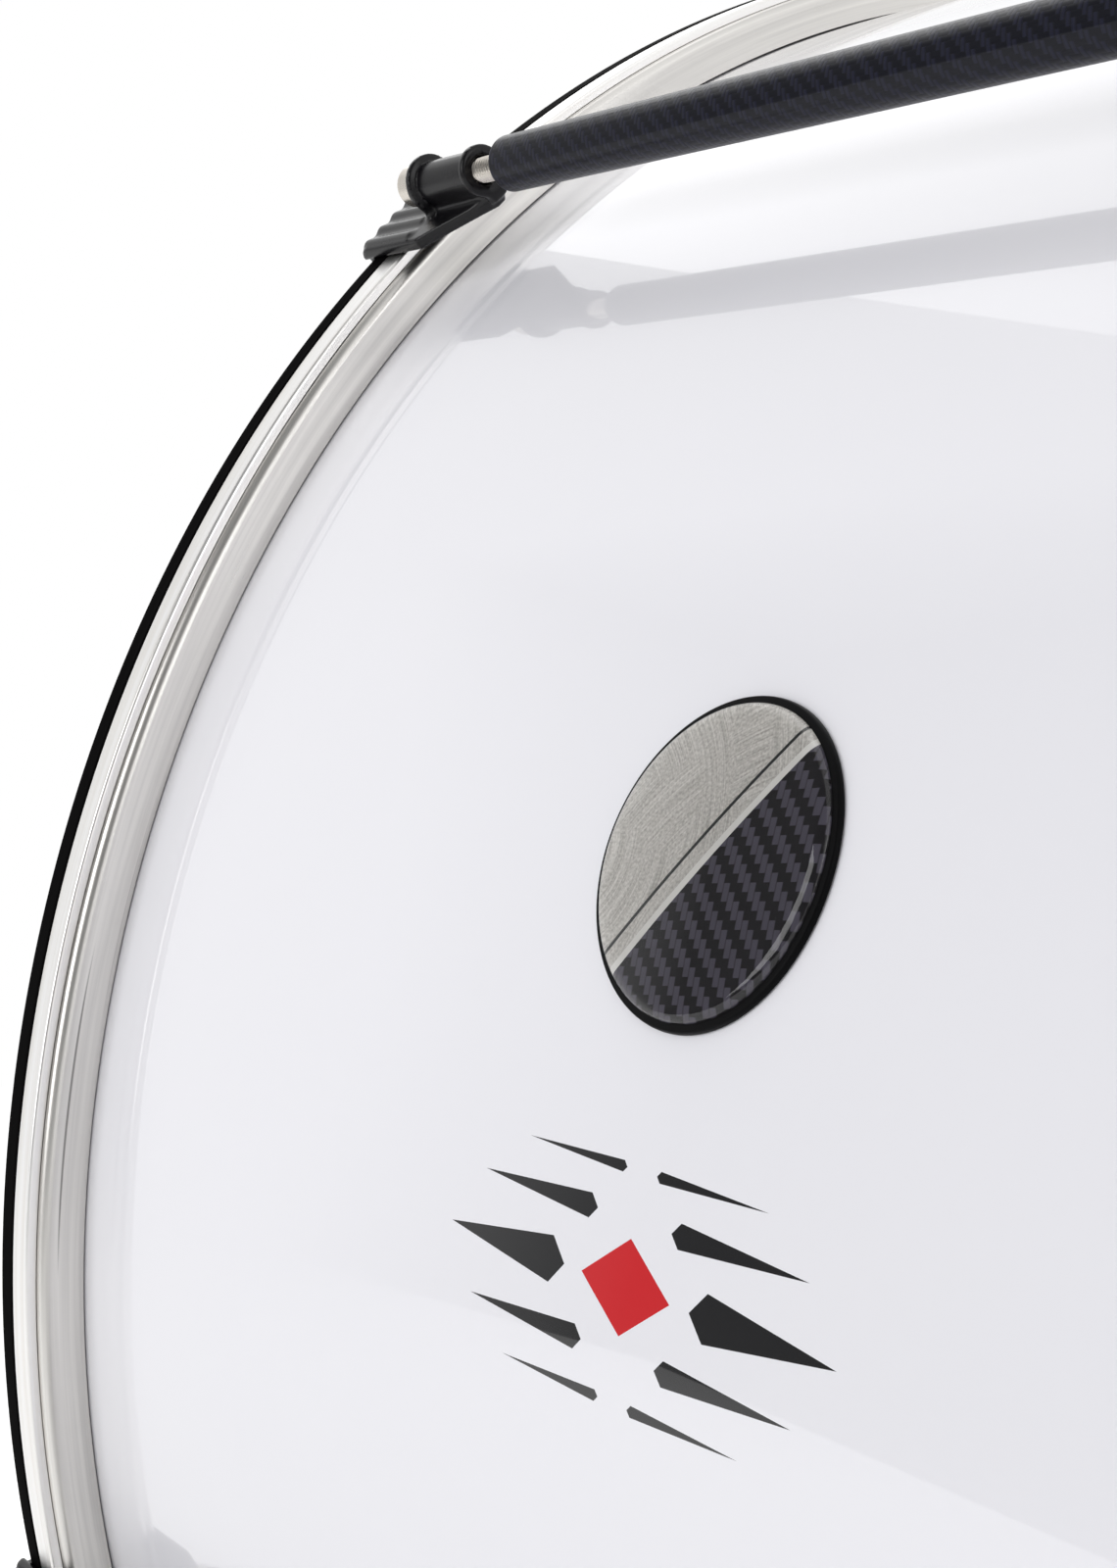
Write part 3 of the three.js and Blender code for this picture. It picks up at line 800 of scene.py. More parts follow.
def run_tree(tree, carrier, **inputs):
    """The mesh that the tree makes from a mesh, with its inputs set by name."""
    holder = bpy.data.objects.new("Holder", carrier)
    bpy.context.scene.collection.objects.link(holder)
    modifier = holder.modifiers.new("Tree", "NODES")
    modifier.node_group = tree
    for item in tree.interface.items_tree:
        if item.in_out == "INPUT" and item.name.replace(" ", "_") in inputs:
            modifier[item.identifier] = inputs[item.name.replace(" ", "_")]
    evaluated = holder.evaluated_get(bpy.context.evaluated_depsgraph_get())
    mesh = bpy.data.meshes.new_from_object(evaluated)
    bpy.data.objects.remove(holder)
    return mesh


def point_outwards(mesh):
    work = bmesh.new()
    work.from_mesh(mesh)
    bmesh.ops.recalc_face_normals(work, faces=work.faces)
    work.to_mesh(mesh)
    work.free()
    return mesh


def turned(outline, sides, material, closed=True):
    """A turned mesh about the X axis, from (along, radius) pairs."""
    carrier = bpy.data.meshes.new("Outline")
    carrier.from_pydata([(x, 0.0, r) for x, r in outline], [], [])
    rows = len(outline) + (1 if closed else 0)
    return point_outwards(run_tree(turn_tree, carrier, Sides=sides, Rows=rows, Finish=material))


def piece(name, mesh, body, slot, *replaced):
    """Puts a finished mesh in the scene, on its body, in place of the nodes that it stands for."""
    made = bpy.data.objects.new(name, mesh)
    mesh.name = name
    bpy.context.scene.collection.objects.link(made)
    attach(made, body)
    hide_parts(*replaced)
    return made


def moved(mesh, matrix):
    """A copy of a mesh, moved by a matrix."""
    copy = mesh.copy()
    copy.transform(matrix)
    return copy


on_axis = Matrix.Translation((0, 0, axis_height))
facing = {"left": Matrix.Rotation(math.pi, 4, "Z"), "right": Matrix.Identity(4)}
print("Helpers: run_tree, point_outwards, turned, piece and moved")

# %% [markdown]
# ## Cutting with a Boolean
#
# Two openings cut across a turned form: the vent in the shell and the hex socket in each screw. Both
# are the form of a prism, taken away by a Boolean modifier. After the cut, smooth shading has to stop
# at the new edges, so those above an angle are marked as sharp.

# %% Helpers: Boolean cut


def prism(radius, depth, sides, matrix):
    """A closed prism along its own Z axis, placed by a matrix."""
    mesh = bpy.data.meshes.new("Prism")
    work = bmesh.new()
    bmesh.ops.create_cone(work, cap_ends=True, segments=sides, radius1=radius, radius2=radius, depth=depth,
                          matrix=matrix)
    work.to_mesh(mesh)
    work.free()
    return mesh


def cut_by(mesh, prism_mesh, sharp_degrees):
    """The mesh without what lies inside the prism."""
    body = bpy.data.objects.new("Body", mesh)
    tool = bpy.data.objects.new("Tool", prism_mesh)
    for one in (body, tool):
        bpy.context.scene.collection.objects.link(one)
    cut = body.modifiers.new("Cut", "BOOLEAN")
    cut.operation = "DIFFERENCE"
    cut.object = tool
    cut.solver = "EXACT"
    done = bpy.data.meshes.new_from_object(body.evaluated_get(bpy.context.evaluated_depsgraph_get()))
    for one in (body, tool):
        bpy.data.objects.remove(one)
    done.set_sharp_from_angle(angle=math.radians(sharp_degrees))
    return done


print("Helpers: prism and cut_by")

# %% [markdown]
# ## Shell
#
# The shell is one laminated cylinder. Its edges, which carry the heads, are rounded. The vent hole at
# the back is cut with a Boolean, because the eyelet's bore has to show daylight into the drum.

# %% Shell
ring_sides = 480
shell_rear, shell_front, shell_inner_facet, _ = reach("shell")
shell_inner = shell_inner_facet * inside_facets
vent_low, vent_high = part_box("vent_grommet")
vent_middle = (vent_low + vent_high) / 2
vent_angle = math.atan2(-vent_middle.y, vent_middle.z - axis_height)
vent_turn = on_axis @ Matrix.Rotation(vent_angle, 4, "X")
vent_hole_radius, vent_drill_length = 6.3 * MM, 50 * MM
outer_edge, inner_edge = 1.4 * MM, 1.2 * MM


def shell_mesh():
    outline = rounded([
        (shell_rear, shell_radius, outer_edge), (shell_front, shell_radius, outer_edge),
        (shell_front, shell_inner, inner_edge), (shell_rear, shell_inner, inner_edge),
    ])
    uncut = moved(turned(outline, ring_sides, white_lacquer), on_axis)
    at_vent = vent_turn @ Matrix.Translation((0, 0, shell_radius))
    return cut_by(uncut, prism(vent_hole_radius, vent_drill_length, 48, at_vent), 40)


piece("lacquered_shell", shell_mesh(), "drum", "white_lacquer", "shell")
print("Shell:", round(shell_radius * 2 / MM, 1), "mm across")
print("It is", round((shell_front - shell_rear) / MM, 1), "mm long")

# %% [markdown]
# ## Hoops, trims, heads and reinforcement rings
#
# All rings of one end are outlines for the right end. For the left end the same mesh is turned half a
# turn, not mirrored, so its faces stay the right way out. The flesh hoop's outer corner is the widest
# round of all, and the skirt over it starts with a rolled edge.

# %% Rings of one end
seat_gap = 0.3 * MM


def measured(name):
    """Where a node starts and ends along X, and its radii inside its facets."""
    rear, front, low, high = reach(name)
    return rear, front, low * inside_facets, high * inside_facets


flesh_rear, flesh_front, flesh_inner, flesh_outer = measured("flesh_hoop_right")
skirt_rear, skirt_front, collar_low, skirt_high = measured("counterhoop_right")
trim_rear, trim_front, trim_low, trim_high = measured("rim_trim_right")
_, film_front, _, hem_high = measured("drumhead_right")
skirt_low = flesh_outer + 0.06 * MM
collar_front, collar_width = film_front + 1.0 * MM, 2.2 * MM
trim_wall, trim_leg = 0.9 * MM, 3.5 * MM
trim_seat = trim_high - trim_wall - seat_gap
collar_of_film = 12 * MM


def flesh_hoop_outline():
    inner = shell_radius + seat_gap
    return rounded([
        (flesh_rear, flesh_outer, 2.1 * MM), (flesh_front, flesh_outer, 0.6 * MM),
        (flesh_front, inner, 0.5 * MM), (flesh_rear, inner, 0.15 * MM),
    ])


def counterhoop_outline():
    hem = trim_rear - seat_gap
    collar_rear = collar_front - collar_width
    return rounded([
        (skirt_rear, skirt_high, 0.7 * MM), (hem, skirt_high, 0.35 * MM),
        (hem, trim_seat, 0.2 * MM), (skirt_front, trim_seat, 0.3 * MM),
        (skirt_front, skirt_low, 0.3 * MM), (collar_front, skirt_low, 1.2 * MM),
        (collar_front, collar_low, 0.9 * MM), (collar_rear, collar_low, 0.9 * MM),
        (collar_rear, skirt_low, 0.3 * MM), (skirt_rear, skirt_low, 0.15 * MM),
    ])


def rim_trim_outline():
    leg_rear, leg_high = trim_front - trim_leg, skirt_low - seat_gap
    wall_front, wall_low = trim_front - trim_wall, trim_high - trim_wall
    return rounded([
        (trim_rear, trim_high, 0.5 * MM), (trim_front, trim_high, 1.5 * MM),
        (trim_front, trim_low, 1.3 * MM), (leg_rear, trim_low, 0.35 * MM),
        (leg_rear, leg_high, 0.3 * MM), (wall_front, leg_high, 0.2 * MM),
        (wall_front, wall_low, 0.3 * MM), (trim_rear, wall_low, 0.3 * MM),
    ])


def drumhead_outline():
    """The film from its middle, over the shell's edge and up between the hoops, and back again."""
    film_rear, hem_rear = shell_front + seat_gap, flesh_front + seat_gap
    hem_front = hem_rear + film_front - film_rear
    hem_low = flesh_inner + seat_gap
    return rounded([
        (film_front, 0.0, 0), (film_front, shell_radius - collar_of_film, 0),
        (film_front, shell_radius + 0.6 * MM, 2 * MM), (hem_front, hem_low + 0.5 * MM, 0.8 * MM),
        (hem_front, hem_high, 0.15 * MM), (hem_rear, hem_high, 0.15 * MM),
        (hem_rear, hem_low, 0.6 * MM), (film_rear, shell_radius + 0.3 * MM, 1.6 * MM),
        (film_rear, shell_radius - collar_of_film, 0), (film_rear, 0.0, 0),
    ], closed=False)


def reinforcement_outline():
    rear, front, low, high = measured("reinforcement_ring_right")
    section = ((rear, high), (front, high), (front, low), (rear, low))
    return rounded([(x, radius, 1.5 * MM) for x, radius in section])


ring_meshes = {
    "flesh_hoop": (turned(flesh_hoop_outline(), ring_sides, flesh_aluminium), "hoop_aluminium"),
    "counterhoop": (turned(counterhoop_outline(), ring_sides, hoop_aluminium), "hoop_aluminium"),
    "rim_trim": (turned(rim_trim_outline(), ring_sides, trim_black), "trim_rubber"),
    "drumhead": (turned(drumhead_outline(), ring_sides, coated_film, closed=False), "head_film"),
    "reinforcement_ring": (turned(reinforcement_outline(), ring_sides, birch), "birch"),
}
for side in ENDS:
    for node, (mesh, slot) in ring_meshes.items():
        piece(f"round_{node}_{side}", moved(mesh, on_axis @ facing[side]), "drum", slot, f"{node}_{side}")
print("Rings:", {node: len(mesh.polygons) for node, (mesh, _) in ring_meshes.items()})

# %% [markdown]
# ## Tension tubes and their inserts
#
# Each tube is turned about its own axis and then placed at its station: lifted to the tubes' distance
# and turned round the drum. Its ends are rounded over, as the coat leaves them.

# %% Tubes and inserts
tube_end = reach("tension_tube_1")[1]
tube_bore, tube_sides = 5.0 * MM, 64
insert_rear, insert_front = reach("tube_insert_1_right")[:2]
insert_radius, insert_bore, insert_sides = 4.7 * MM, 3.5 * MM, 40


def at_station(station, side="right"):
    lift = Matrix.Translation((0, 0, rod_height))
    turn = Matrix.Rotation(station_angle(station), 4, "X")
    return on_axis @ turn @ facing[side] @ lift


tube_outline = rounded([
    (-tube_end, tube_radius, 1.9 * MM), (tube_end, tube_radius, 1.9 * MM),
    (tube_end, tube_bore, 0.3 * MM), (-tube_end, tube_bore, 0.3 * MM),
], steps=7)
insert_outline = rounded([
    (insert_rear, insert_radius, 0.3 * MM), (insert_front, insert_radius, 0.3 * MM),
    (insert_front, insert_bore, 0.35 * MM), (insert_rear, insert_bore, 0.2 * MM),
])
tube_mesh = turned(tube_outline, tube_sides, woven_carbon)
insert_mesh = turned(insert_outline, insert_sides, insert_aluminium)
for station in STATIONS:
    piece(f"carbon_tube_{station}", moved(tube_mesh, at_station(station)), "drum", "carbon_tube",
          f"tension_tube_{station}")
    for side in ENDS:
        piece(f"threaded_insert_{station}_{side}", moved(insert_mesh, at_station(station, side)), "drum",
              "insert_aluminium", f"tube_insert_{station}_{side}")
print("Tubes:", round(tube_end * 2 / MM, 1), "mm long,", round(tube_radius * 2 / MM, 1), "mm thick")

# %% [markdown]
# ## Tension screws with a real thread
#
# A thread is a groove that climbs along a turned rod. So the screw is turned first, with many rows where
# the thread lies, and then a second tree moves each point in or out by where it lies in the helix: its
# place along the screw in pitches, less its turn. The hex socket is cut with a Boolean.

# %% Tree: cut a thread


def make_thread_tree():
    tree, given, result = new_group(
        "Cut a thread", "GeometryNodeTree",
        {
            "Geometry": ("Geometry", None), "Pitch": ("Float", 1 * MM), "Depth": ("Float", 0.6 * MM),
            "From": ("Float", 0.0), "To": ("Float", 1.0), "Core": ("Float", 1.0),
        },
        {"Geometry": "Geometry"},
    )
    place = separate(tree, put(tree, "GeometryNodeInputPosition").outputs[0])
    turn = calc(tree, "DIVIDE", calc(tree, "ARCTAN2", place["Z"], place["Y"]), 2 * math.pi)
    phase = calc(tree, "SUBTRACT", calc(tree, "DIVIDE", place["X"], given["Pitch"]), turn)
    wave = calc(tree, "MULTIPLY", calc(tree, "PINGPONG", phase, 0.5), 2.0)
    flank = spread(tree, wave, 0.15, 0.85, 0.0, 1.0)
    after_start = calc(tree, "ADD", given["From"], given["Pitch"])
    before_end = calc(tree, "SUBTRACT", given["To"], given["Pitch"])
    run_in = spread(tree, place["X"], given["From"], after_start, 0.0, 1.0)
    run_out = spread(tree, place["X"], given["To"], before_end, 0.0, 1.0)
    depth = calc(tree, "MULTIPLY", calc(tree, "MULTIPLY", flank, given["Depth"]),
                 calc(tree, "MULTIPLY", run_in, run_out))
    radius = distance(tree, place["Y"], place["Z"])
    outer = calc(tree, "GREATER_THAN", radius, given["Core"])
    lost = calc(tree, "DIVIDE", calc(tree, "MULTIPLY", depth, outer),
                calc(tree, "MAXIMUM", radius, 0.01 * MM))
    share = calc(tree, "SUBTRACT", 1.0, lost)
    moved_to = combine(tree, place["X"], calc(tree, "MULTIPLY", place["Y"], share),
                       calc(tree, "MULTIPLY", place["Z"], share))
    cut = put(tree, "GeometryNodeSetPosition", {"Geometry": given["Geometry"], "Position": moved_to})
    real = put(tree, "GeometryNodeRealizeInstances", {"Geometry": cut.outputs[0]})
    finish = put(tree, "GeometryNodeSetMaterial", {"Geometry": real.outputs[0], "Material": bright_steel})
    tree.links.new(finish.outputs[0], result.inputs["Geometry"])
    return tree


thread_tree = make_thread_tree()
print("Tree:", thread_tree.name, "with", len(thread_tree.nodes), "nodes")

# %% Screws
screw_tip, head_front = reach("tension_screw_1_right")[:2]
shank_radius, head_radius, head_length = 3.0 * MM, 5.0 * MM, 6.5 * MM
tip_chamfer, screw_sides = 0.8 * MM, 32
head_rear = head_front - head_length
thread_end = screw_tip + 36 * MM
thread_pitch, thread_depth, thread_core = 1 * MM, 0.55 * MM, 2.0 * MM
rows_per_pitch = 8
key_across_flats, key_depth = 5 * MM, 3 * MM


def screw_mesh():
    first_row = screw_tip + tip_chamfer
    outline = [Vector((screw_tip, 0.0)), Vector((screw_tip, shank_radius - tip_chamfer))]
    rows = round((thread_end - first_row) / thread_pitch * rows_per_pitch)
    for row in range(rows + 1):
        outline.append(Vector((first_row + row * thread_pitch / rows_per_pitch, shank_radius)))
    outline += rounded([
        (thread_end, shank_radius, 0), (head_rear, shank_radius, 0.2 * MM),
        (head_rear, head_radius, 0.4 * MM), (head_front, head_radius, 0.9 * MM), (head_front, 0.0, 0),
    ], closed=False)[1:]
    plain = turned(outline, screw_sides, bright_steel, closed=False)
    return run_tree(thread_tree, plain, Pitch=thread_pitch, Depth=thread_depth, From=screw_tip, To=thread_end,
                    Core=thread_core)


on_head = Matrix.Translation((head_front, 0, 0)) @ Matrix.Rotation(math.pi / 2, 4, "Y")
hex_key = prism(key_across_flats / math.sqrt(3), key_depth * 2, 6, on_head)
socket_screw = cut_by(screw_mesh(), hex_key, 38)
for station in STATIONS:
    for side in ENDS:
        piece(f"socket_screw_{station}_{side}", moved(socket_screw, at_station(station, side)),
              f"tension_screw_{station}_{side}", "screw_steel", f"tension_screw_{station}_{side}")
print("Screws:", len(socket_screw.polygons), "faces each")

# %% [markdown]
# ## Castings from a distance field
#
# A claw is a casting: its sleeve, web, ribbed foot and hook flow into each other with wide rounds
# inside and small rounds outside. Bevels do this badly where many faces meet. A distance field does it
# well: each form is a formula for how far a point is from its surface, forms are joined by a smooth
# minimum, and the skin is where the sum is zero. The skin is found on a grid of cells, one corner point
# per cell that it crosses, and then each point is drawn exactly onto it.

# %% Helpers: distance fields
draws_onto_skin = 4
slope_reach = 0.05
least_steepness = 0.2


def within(*gaps, edge=0.0):
    """Distance from what lies inside all the given gaps at once, with its edges rounded."""
    gaps = [gap + edge for gap in gaps]
    outside = np.sqrt(sum(np.maximum(gap, 0) ** 2 for gap in gaps))
    return outside + np.minimum(np.maximum.reduce(gaps), 0) - edge


def joined(first, second, fillet):
    """Both forms, with a round of about this size where they meet."""
    share = np.clip(0.5 + 0.5 * (second - first) / fillet, 0, 1)
    return second + (first - second) * share - fillet * share * (1 - share)


def cut_away(first, second, fillet):
    return -joined(-first, second, fillet)


def drawn_onto_skin(field, points, cell):
    """Moves the points along the field's slope until the field is zero there."""
    nudge = cell * slope_reach
    for _ in range(draws_onto_skin):
        value = field(*points)
        slope = np.stack([field(*(points + step[:, None])) - field(*(points - step[:, None]))
                          for step in np.eye(3) * nudge]) / (2 * nudge)
        steepness = np.maximum((slope ** 2).sum(0), least_steepness)
        points = points - np.clip(value / steepness, -cell / 2, cell / 2) * slope
    return points


def skin_of(field, low, high, cell, material):
    """The mesh of a field's zero surface, in metres, from a field in millimetres."""
    counts = [int(math.ceil((b - a) / cell)) + 1 for a, b in zip(low, high)]
    axes = [a + cell * np.arange(count) for a, count in zip(low, counts)]
    grid = np.stack(np.meshgrid(*axes, indexing="ij"))
    inside = field(*grid) < 0
    total = np.zeros([count - 1 for count in counts], int)
    for dx, dy, dz in np.ndindex(2, 2, 2):
        total += inside[dx:counts[0] - 1 + dx, dy:counts[1] - 1 + dy, dz:counts[2] - 1 + dz]
    crossed = (total > 0) & (total < 8)
    number = np.full(crossed.shape, -1)
    number[crossed] = np.arange(crossed.sum())
    points = np.array([axis[0] for axis in axes])[:, None] + cell * (np.array(np.nonzero(crossed)) + 0.5)
    faces = []
    for axis in range(3):
        order = (axis, (axis + 1) % 3, (axis + 2) % 3)
        here = np.moveaxis(inside, order, (0, 1, 2))
        cells = np.moveaxis(number, order, (0, 1, 2))
        first, last = here[:-1, 1:-1, 1:-1], here[1:, 1:-1, 1:-1]
        corners_of = (cells[:, :-1, :-1], cells[:, 1:, :-1], cells[:, 1:, 1:], cells[:, :-1, 1:])
        faces.append(np.stack([corner[first & ~last] for corner in corners_of], 1))
        faces.append(np.stack([corner[~first & last] for corner in corners_of[::-1]], 1))
    faces = np.concatenate(faces)
    mesh = bpy.data.meshes.new("Casting")
    mesh.from_pydata((drawn_onto_skin(field, points, cell).T * MM).tolist(), [], faces.tolist())
    mesh.materials.append(material)
    mesh.shade_smooth()
    return point_outwards(mesh)


print("Helpers: within, joined, cut_away, drawn_onto_skin and skin_of")

# %% [markdown]
# ## Claws
#
# The claw's field is written in millimetres at the right end of the drum, with X along the drum, Y
# along the hoop, and Z out from the drum's axis. Its foot is curved to the hoop. From above, the foot is
# narrow behind and spreads towards the rim. Five ribs give it grip and stiffness, and run on over the
# rounded front edge. The sleeve stands on a web, narrow behind and wide in front, that flares out into
# the foot. A raised lip at each end of the sleeve carries on down the web as a rim. In front, the end of
# the sleeve is cut flat for the head of the screw.

# %% Claw


def claw_sizes():
    """The claw's own frame, read from its node at the first station, in millimetres."""
    local = at_station(1).inverted()
    turned_back = np.array([local @ Vector(corner) for corner in corners("claw_1_right")]) / MM
    return turned_back.min(0), turned_back.max(0)


claw_low, claw_high = claw_sizes()
rod, rim_front = rod_height / MM, trim_front / MM
sleeve_rear, sleeve_front = claw_low[0], head_rear / MM - 0.3
sleeve_middle, sleeve_half = (sleeve_rear + sleeve_front) / 2, (sleeve_front - sleeve_rear) / 2
sleeve_radius, bore_radius, head_seat_radius = 4.9, 3.4, head_radius / MM + 0.4
lip_width, lip_step, inner_lip, mouth_lip, lip_on_web = 2.2, 0.5, 1.1, 1.8, 0.7
foot_under = trim_high / MM + 0.35
foot_top = foot_under + 3.0
foot_rear, foot_wide, foot_half_width, foot_rear_half_width = sleeve_rear + 2, sleeve_rear + 22.0, 13.5, 1.4
web_rear_half_width, web_front_half_width, web_half_height = 1.5, 4.2, 4.5
web_middle = (rod + foot_top) / 2
rib_places, rib_width, rib_height = (10.8, 5.4, 0.0), 5.4, 0.675
rib_start, rib_rise = foot_wide + 3, 2
hook_front, hook_end, hook_rear = claw_high[0], rod + claw_low[2], rim_front + 0.35
hook_face, hook_half_width = hook_front - 0.9, 12
# The edges of each form, and the rounds where the forms meet.
sleeve_edge, foot_edge, hook_edge, front_edge, hook_corner, bore_edge = 0.7, 0.55, 0.6, 3.4, 3.5, 0.5
hook_fillet, web_fillet, foot_fillet = 1.2, 2.2, 2.6
claw_cell, claw_margin, claw_room_aside, claw_room_above = 0.5, 1.5, 20, 7.5


def foot_plan_gap(x, side):
    """How far a point is outside the foot's outline from above."""
    slope = (foot_half_width - foot_rear_half_width) / (foot_wide - foot_rear)
    plan = np.minimum(foot_rear_half_width + slope * (x - foot_rear), foot_half_width)
    return (side - plan) * math.cos(math.atan(slope))


def ribs(x, side):
    """How high the ribs stand on the foot, as waves across it."""
    bumps = 0
    for place in rib_places:
        wave = 0.5 + 0.5 * np.cos(2 * np.pi * (side - place) / rib_width)
        bumps = bumps + np.where(np.abs(side - place) < rib_width / 2, wave, 0)
    return rib_height * bumps * np.clip((x - rib_start) / rib_rise, 0, 1)


def claw_field(x, y, z):
    out, side, across = np.hypot(y, z), np.abs(y), np.hypot(y, z - rod)
    length = np.abs(x - sleeve_middle) - sleeve_half
    proud = (inner_lip * np.clip((sleeve_rear + lip_width - x) / lip_step + 0.5, 0, 1)
             + mouth_lip * np.clip((x - sleeve_front + lip_width) / lip_step + 0.5, 0, 1))
    sleeve = within(across - sleeve_radius - proud, length, edge=sleeve_edge)
    share = np.clip((x - sleeve_rear) / (2 * sleeve_half), 0, 1)
    web_wide = web_rear_half_width + (web_front_half_width - web_rear_half_width) * share
    web = within(side - web_wide - proud * lip_on_web, length, np.abs(z - web_middle) - web_half_height,
                 edge=sleeve_edge)
    outer = within(x - hook_face, out - foot_top, edge=front_edge) - ribs(x, side)
    foot = within(outer, foot_under - out, foot_plan_gap(x, side), foot_rear - x, edge=foot_edge)
    shield = within(side - hook_half_width, hook_end - z, edge=hook_corner)
    hook = within(outer, hook_rear - x, shield, edge=hook_edge)
    body = joined(joined(sleeve, web, web_fillet), joined(foot, hook, hook_fillet), foot_fillet)
    body = np.maximum(body, np.where(x > rim_front + 0.3, -np.inf, foot_under - out))
    head_seat = within(across - head_seat_radius, sleeve_front - x)
    return np.maximum(cut_away(body, across - bore_radius, bore_edge), -head_seat)


claw_from = (sleeve_rear - claw_margin, -claw_room_aside, hook_end - claw_margin)
claw_to = (hook_front + claw_margin, claw_room_aside, rod + claw_room_above)
claw_mesh = skin_of(claw_field, claw_from, claw_to, claw_cell, satin_black)
claw_mesh.transform(Matrix.Translation((0, 0, -rod_height)))
for station in STATIONS:
    for side in ENDS:
        piece(f"cast_claw_{station}_{side}", moved(claw_mesh, at_station(station, side)), "drum",
              "satin_black", f"claw_{station}_{side}")
print("Claws:", len(claw_mesh.polygons), "faces each")

# %% [markdown]
# ## Badge
#
# Plate and dome are turned as flat discs first, and then wrapped on the shell: a point's height becomes
# its distance out from the shell, and its place across the disc becomes a distance round the shell.
# Before the wrap, that place is kept as the UV map, in metres, for the print.

# %% Badge
badge_middle = (badge_low + badge_high) / 2
badge_angle = math.atan2(-badge_middle.y, badge_middle.z - axis_height)
dome_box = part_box("badge_dome")
dome_radius = (dome_box[1].x - dome_box[0].x) / 2
plate_gap, plate_high, plate_shoulder = 0.3 * MM, 1.4 * MM, 0.5 * MM
dome_low, dome_high, dome_crown, dome_shoulder = 1.35 * MM, 2.9 * MM, 0.5 * MM, 2.4 * MM
badge_sides = 128


def wrapped_on_shell(mesh, angle):
    layer = mesh.uv_layers["UVMap"]
    for loop in mesh.loops:
        place = mesh.vertices[loop.vertex_index].co
        layer.data[loop.index].uv = (place.y, place.z)
    for vertex in mesh.vertices:
        height, along, up = vertex.co
        turn = angle - up / shell_radius
        radius = shell_radius + height
        vertex.co = (along, -radius * math.sin(turn), axis_height + radius * math.cos(turn))
    return point_outwards(mesh)


def disc_outline(radius, low, high, crown, shoulder, rings=12, steps=9):
    """A disc about X, from the middle of its top to the middle of its bottom, with a round shoulder."""
    flat = radius - shoulder
    shares = [ring / rings for ring in range(rings)]
    outline = [Vector((high + crown * (1 - share ** 2), flat * share)) for share in shares]
    for step in range(steps + 1):
        angle = math.pi / 2 * step / steps
        outline.append(Vector((low + (high - low) * math.cos(angle), flat + shoulder * math.sin(angle))))
    outline += [Vector((low, radius * share)) for share in shares[::-1]]
    return outline


plate_outline = disc_outline(badge_radius, plate_gap, plate_high, 0.0, plate_shoulder)
dome_outline = disc_outline(dome_radius, dome_low, dome_high, dome_crown, dome_shoulder)
plate = turned(plate_outline, badge_sides, badge_print, closed=False)
dome = turned(dome_outline, badge_sides, clear_resin, closed=False)
piece("printed_badge_plate", wrapped_on_shell(plate, badge_angle), "drum", "badge_print", "badge_plate")
piece("clear_badge_dome", wrapped_on_shell(dome, badge_angle), "drum", "clear_resin", "badge_dome")
print("Badge at", round(math.degrees(badge_angle), 1), "degrees from the top")

# %% [markdown]
# ## Vent eyelet
#
# The eyelet is turned too, with rolled flanges, and then stood up to point out of the shell.

# %% Vent eyelet
eyelet_sides = 64
flange, barrel, eyelet_bore, flange_thick = 9 * MM, 6.0 * MM, 4.6 * MM, 1.2 * MM


def eyelet_outline():
    outer, inner = shell_radius + seat_gap, shell_inner - seat_gap
    top, bottom = outer + flange_thick, inner - flange_thick
    return rounded([
        (bottom, flange, 0.55 * MM), (inner, flange, 0.3 * MM), (inner, barrel, 0.1 * MM),
        (outer, barrel, 0.1 * MM), (outer, flange, 0.3 * MM), (top, flange, 0.55 * MM),
        (top, eyelet_bore, 1.0 * MM), (bottom, eyelet_bore, 1.0 * MM),
    ])


eyelet_mesh = turned(eyelet_outline(), eyelet_sides, grommet_brass)
stand_up = vent_turn @ Matrix.Rotation(-math.pi / 2, 4, "Y")
piece("brass_eyelet", moved(eyelet_mesh, stand_up), "drum", "grommet_brass", "vent_grommet")
print("Eyelet:", len(eyelet_mesh.polygons), "faces")

# %% [markdown]
# ## Strap clamps and rings
#
# The clamps on the uppermost tube at the back are small castings too, so they come from a field as the
# claws do. The rings are bent from round wire: a circle turned about the X axis, stood up, and hung in the
# clamp's lug. Each ring rides on its own body, because it swings.

# %% Strap clamps and rings
strap_station = 6
collar_radius, collar_bore, collar_half_width = 9.2, 6.7, 7.0
lug_reach, lug_radius, lug_half_width, lug_eye = 14.5, 5.2, 3, 2.9
clamp_edge, clamp_cell, clamp_margin = 0.8, 0.4, 1.5
lug_fillet, collar_fillet, collar_bore_edge, lug_eye_edge = 0.6, 2.4, 0.4, 0.8
ring_radius, wire_radius, wire_sides, wire_ring_sides = 10 * MM, 2 * MM, 24, 96


def clamp_field(x, y, z):
    across, from_lug = np.hypot(y, z), np.hypot(y - lug_reach, z)
    lug_thick = np.abs(x) - lug_half_width
    collar = within(across - collar_radius, np.abs(x) - collar_half_width, edge=clamp_edge)
    lug = within(from_lug - lug_radius, lug_thick, edge=clamp_edge)
    web = within(np.abs(y - lug_reach / 2) - lug_reach / 2, np.abs(z) - lug_radius, lug_thick,
                 edge=clamp_edge)
    body = joined(joined(lug, web, lug_fillet), collar, collar_fillet)
    body = cut_away(body, across - collar_bore, collar_bore_edge)
    return cut_away(body, from_lug - lug_eye, lug_eye_edge)


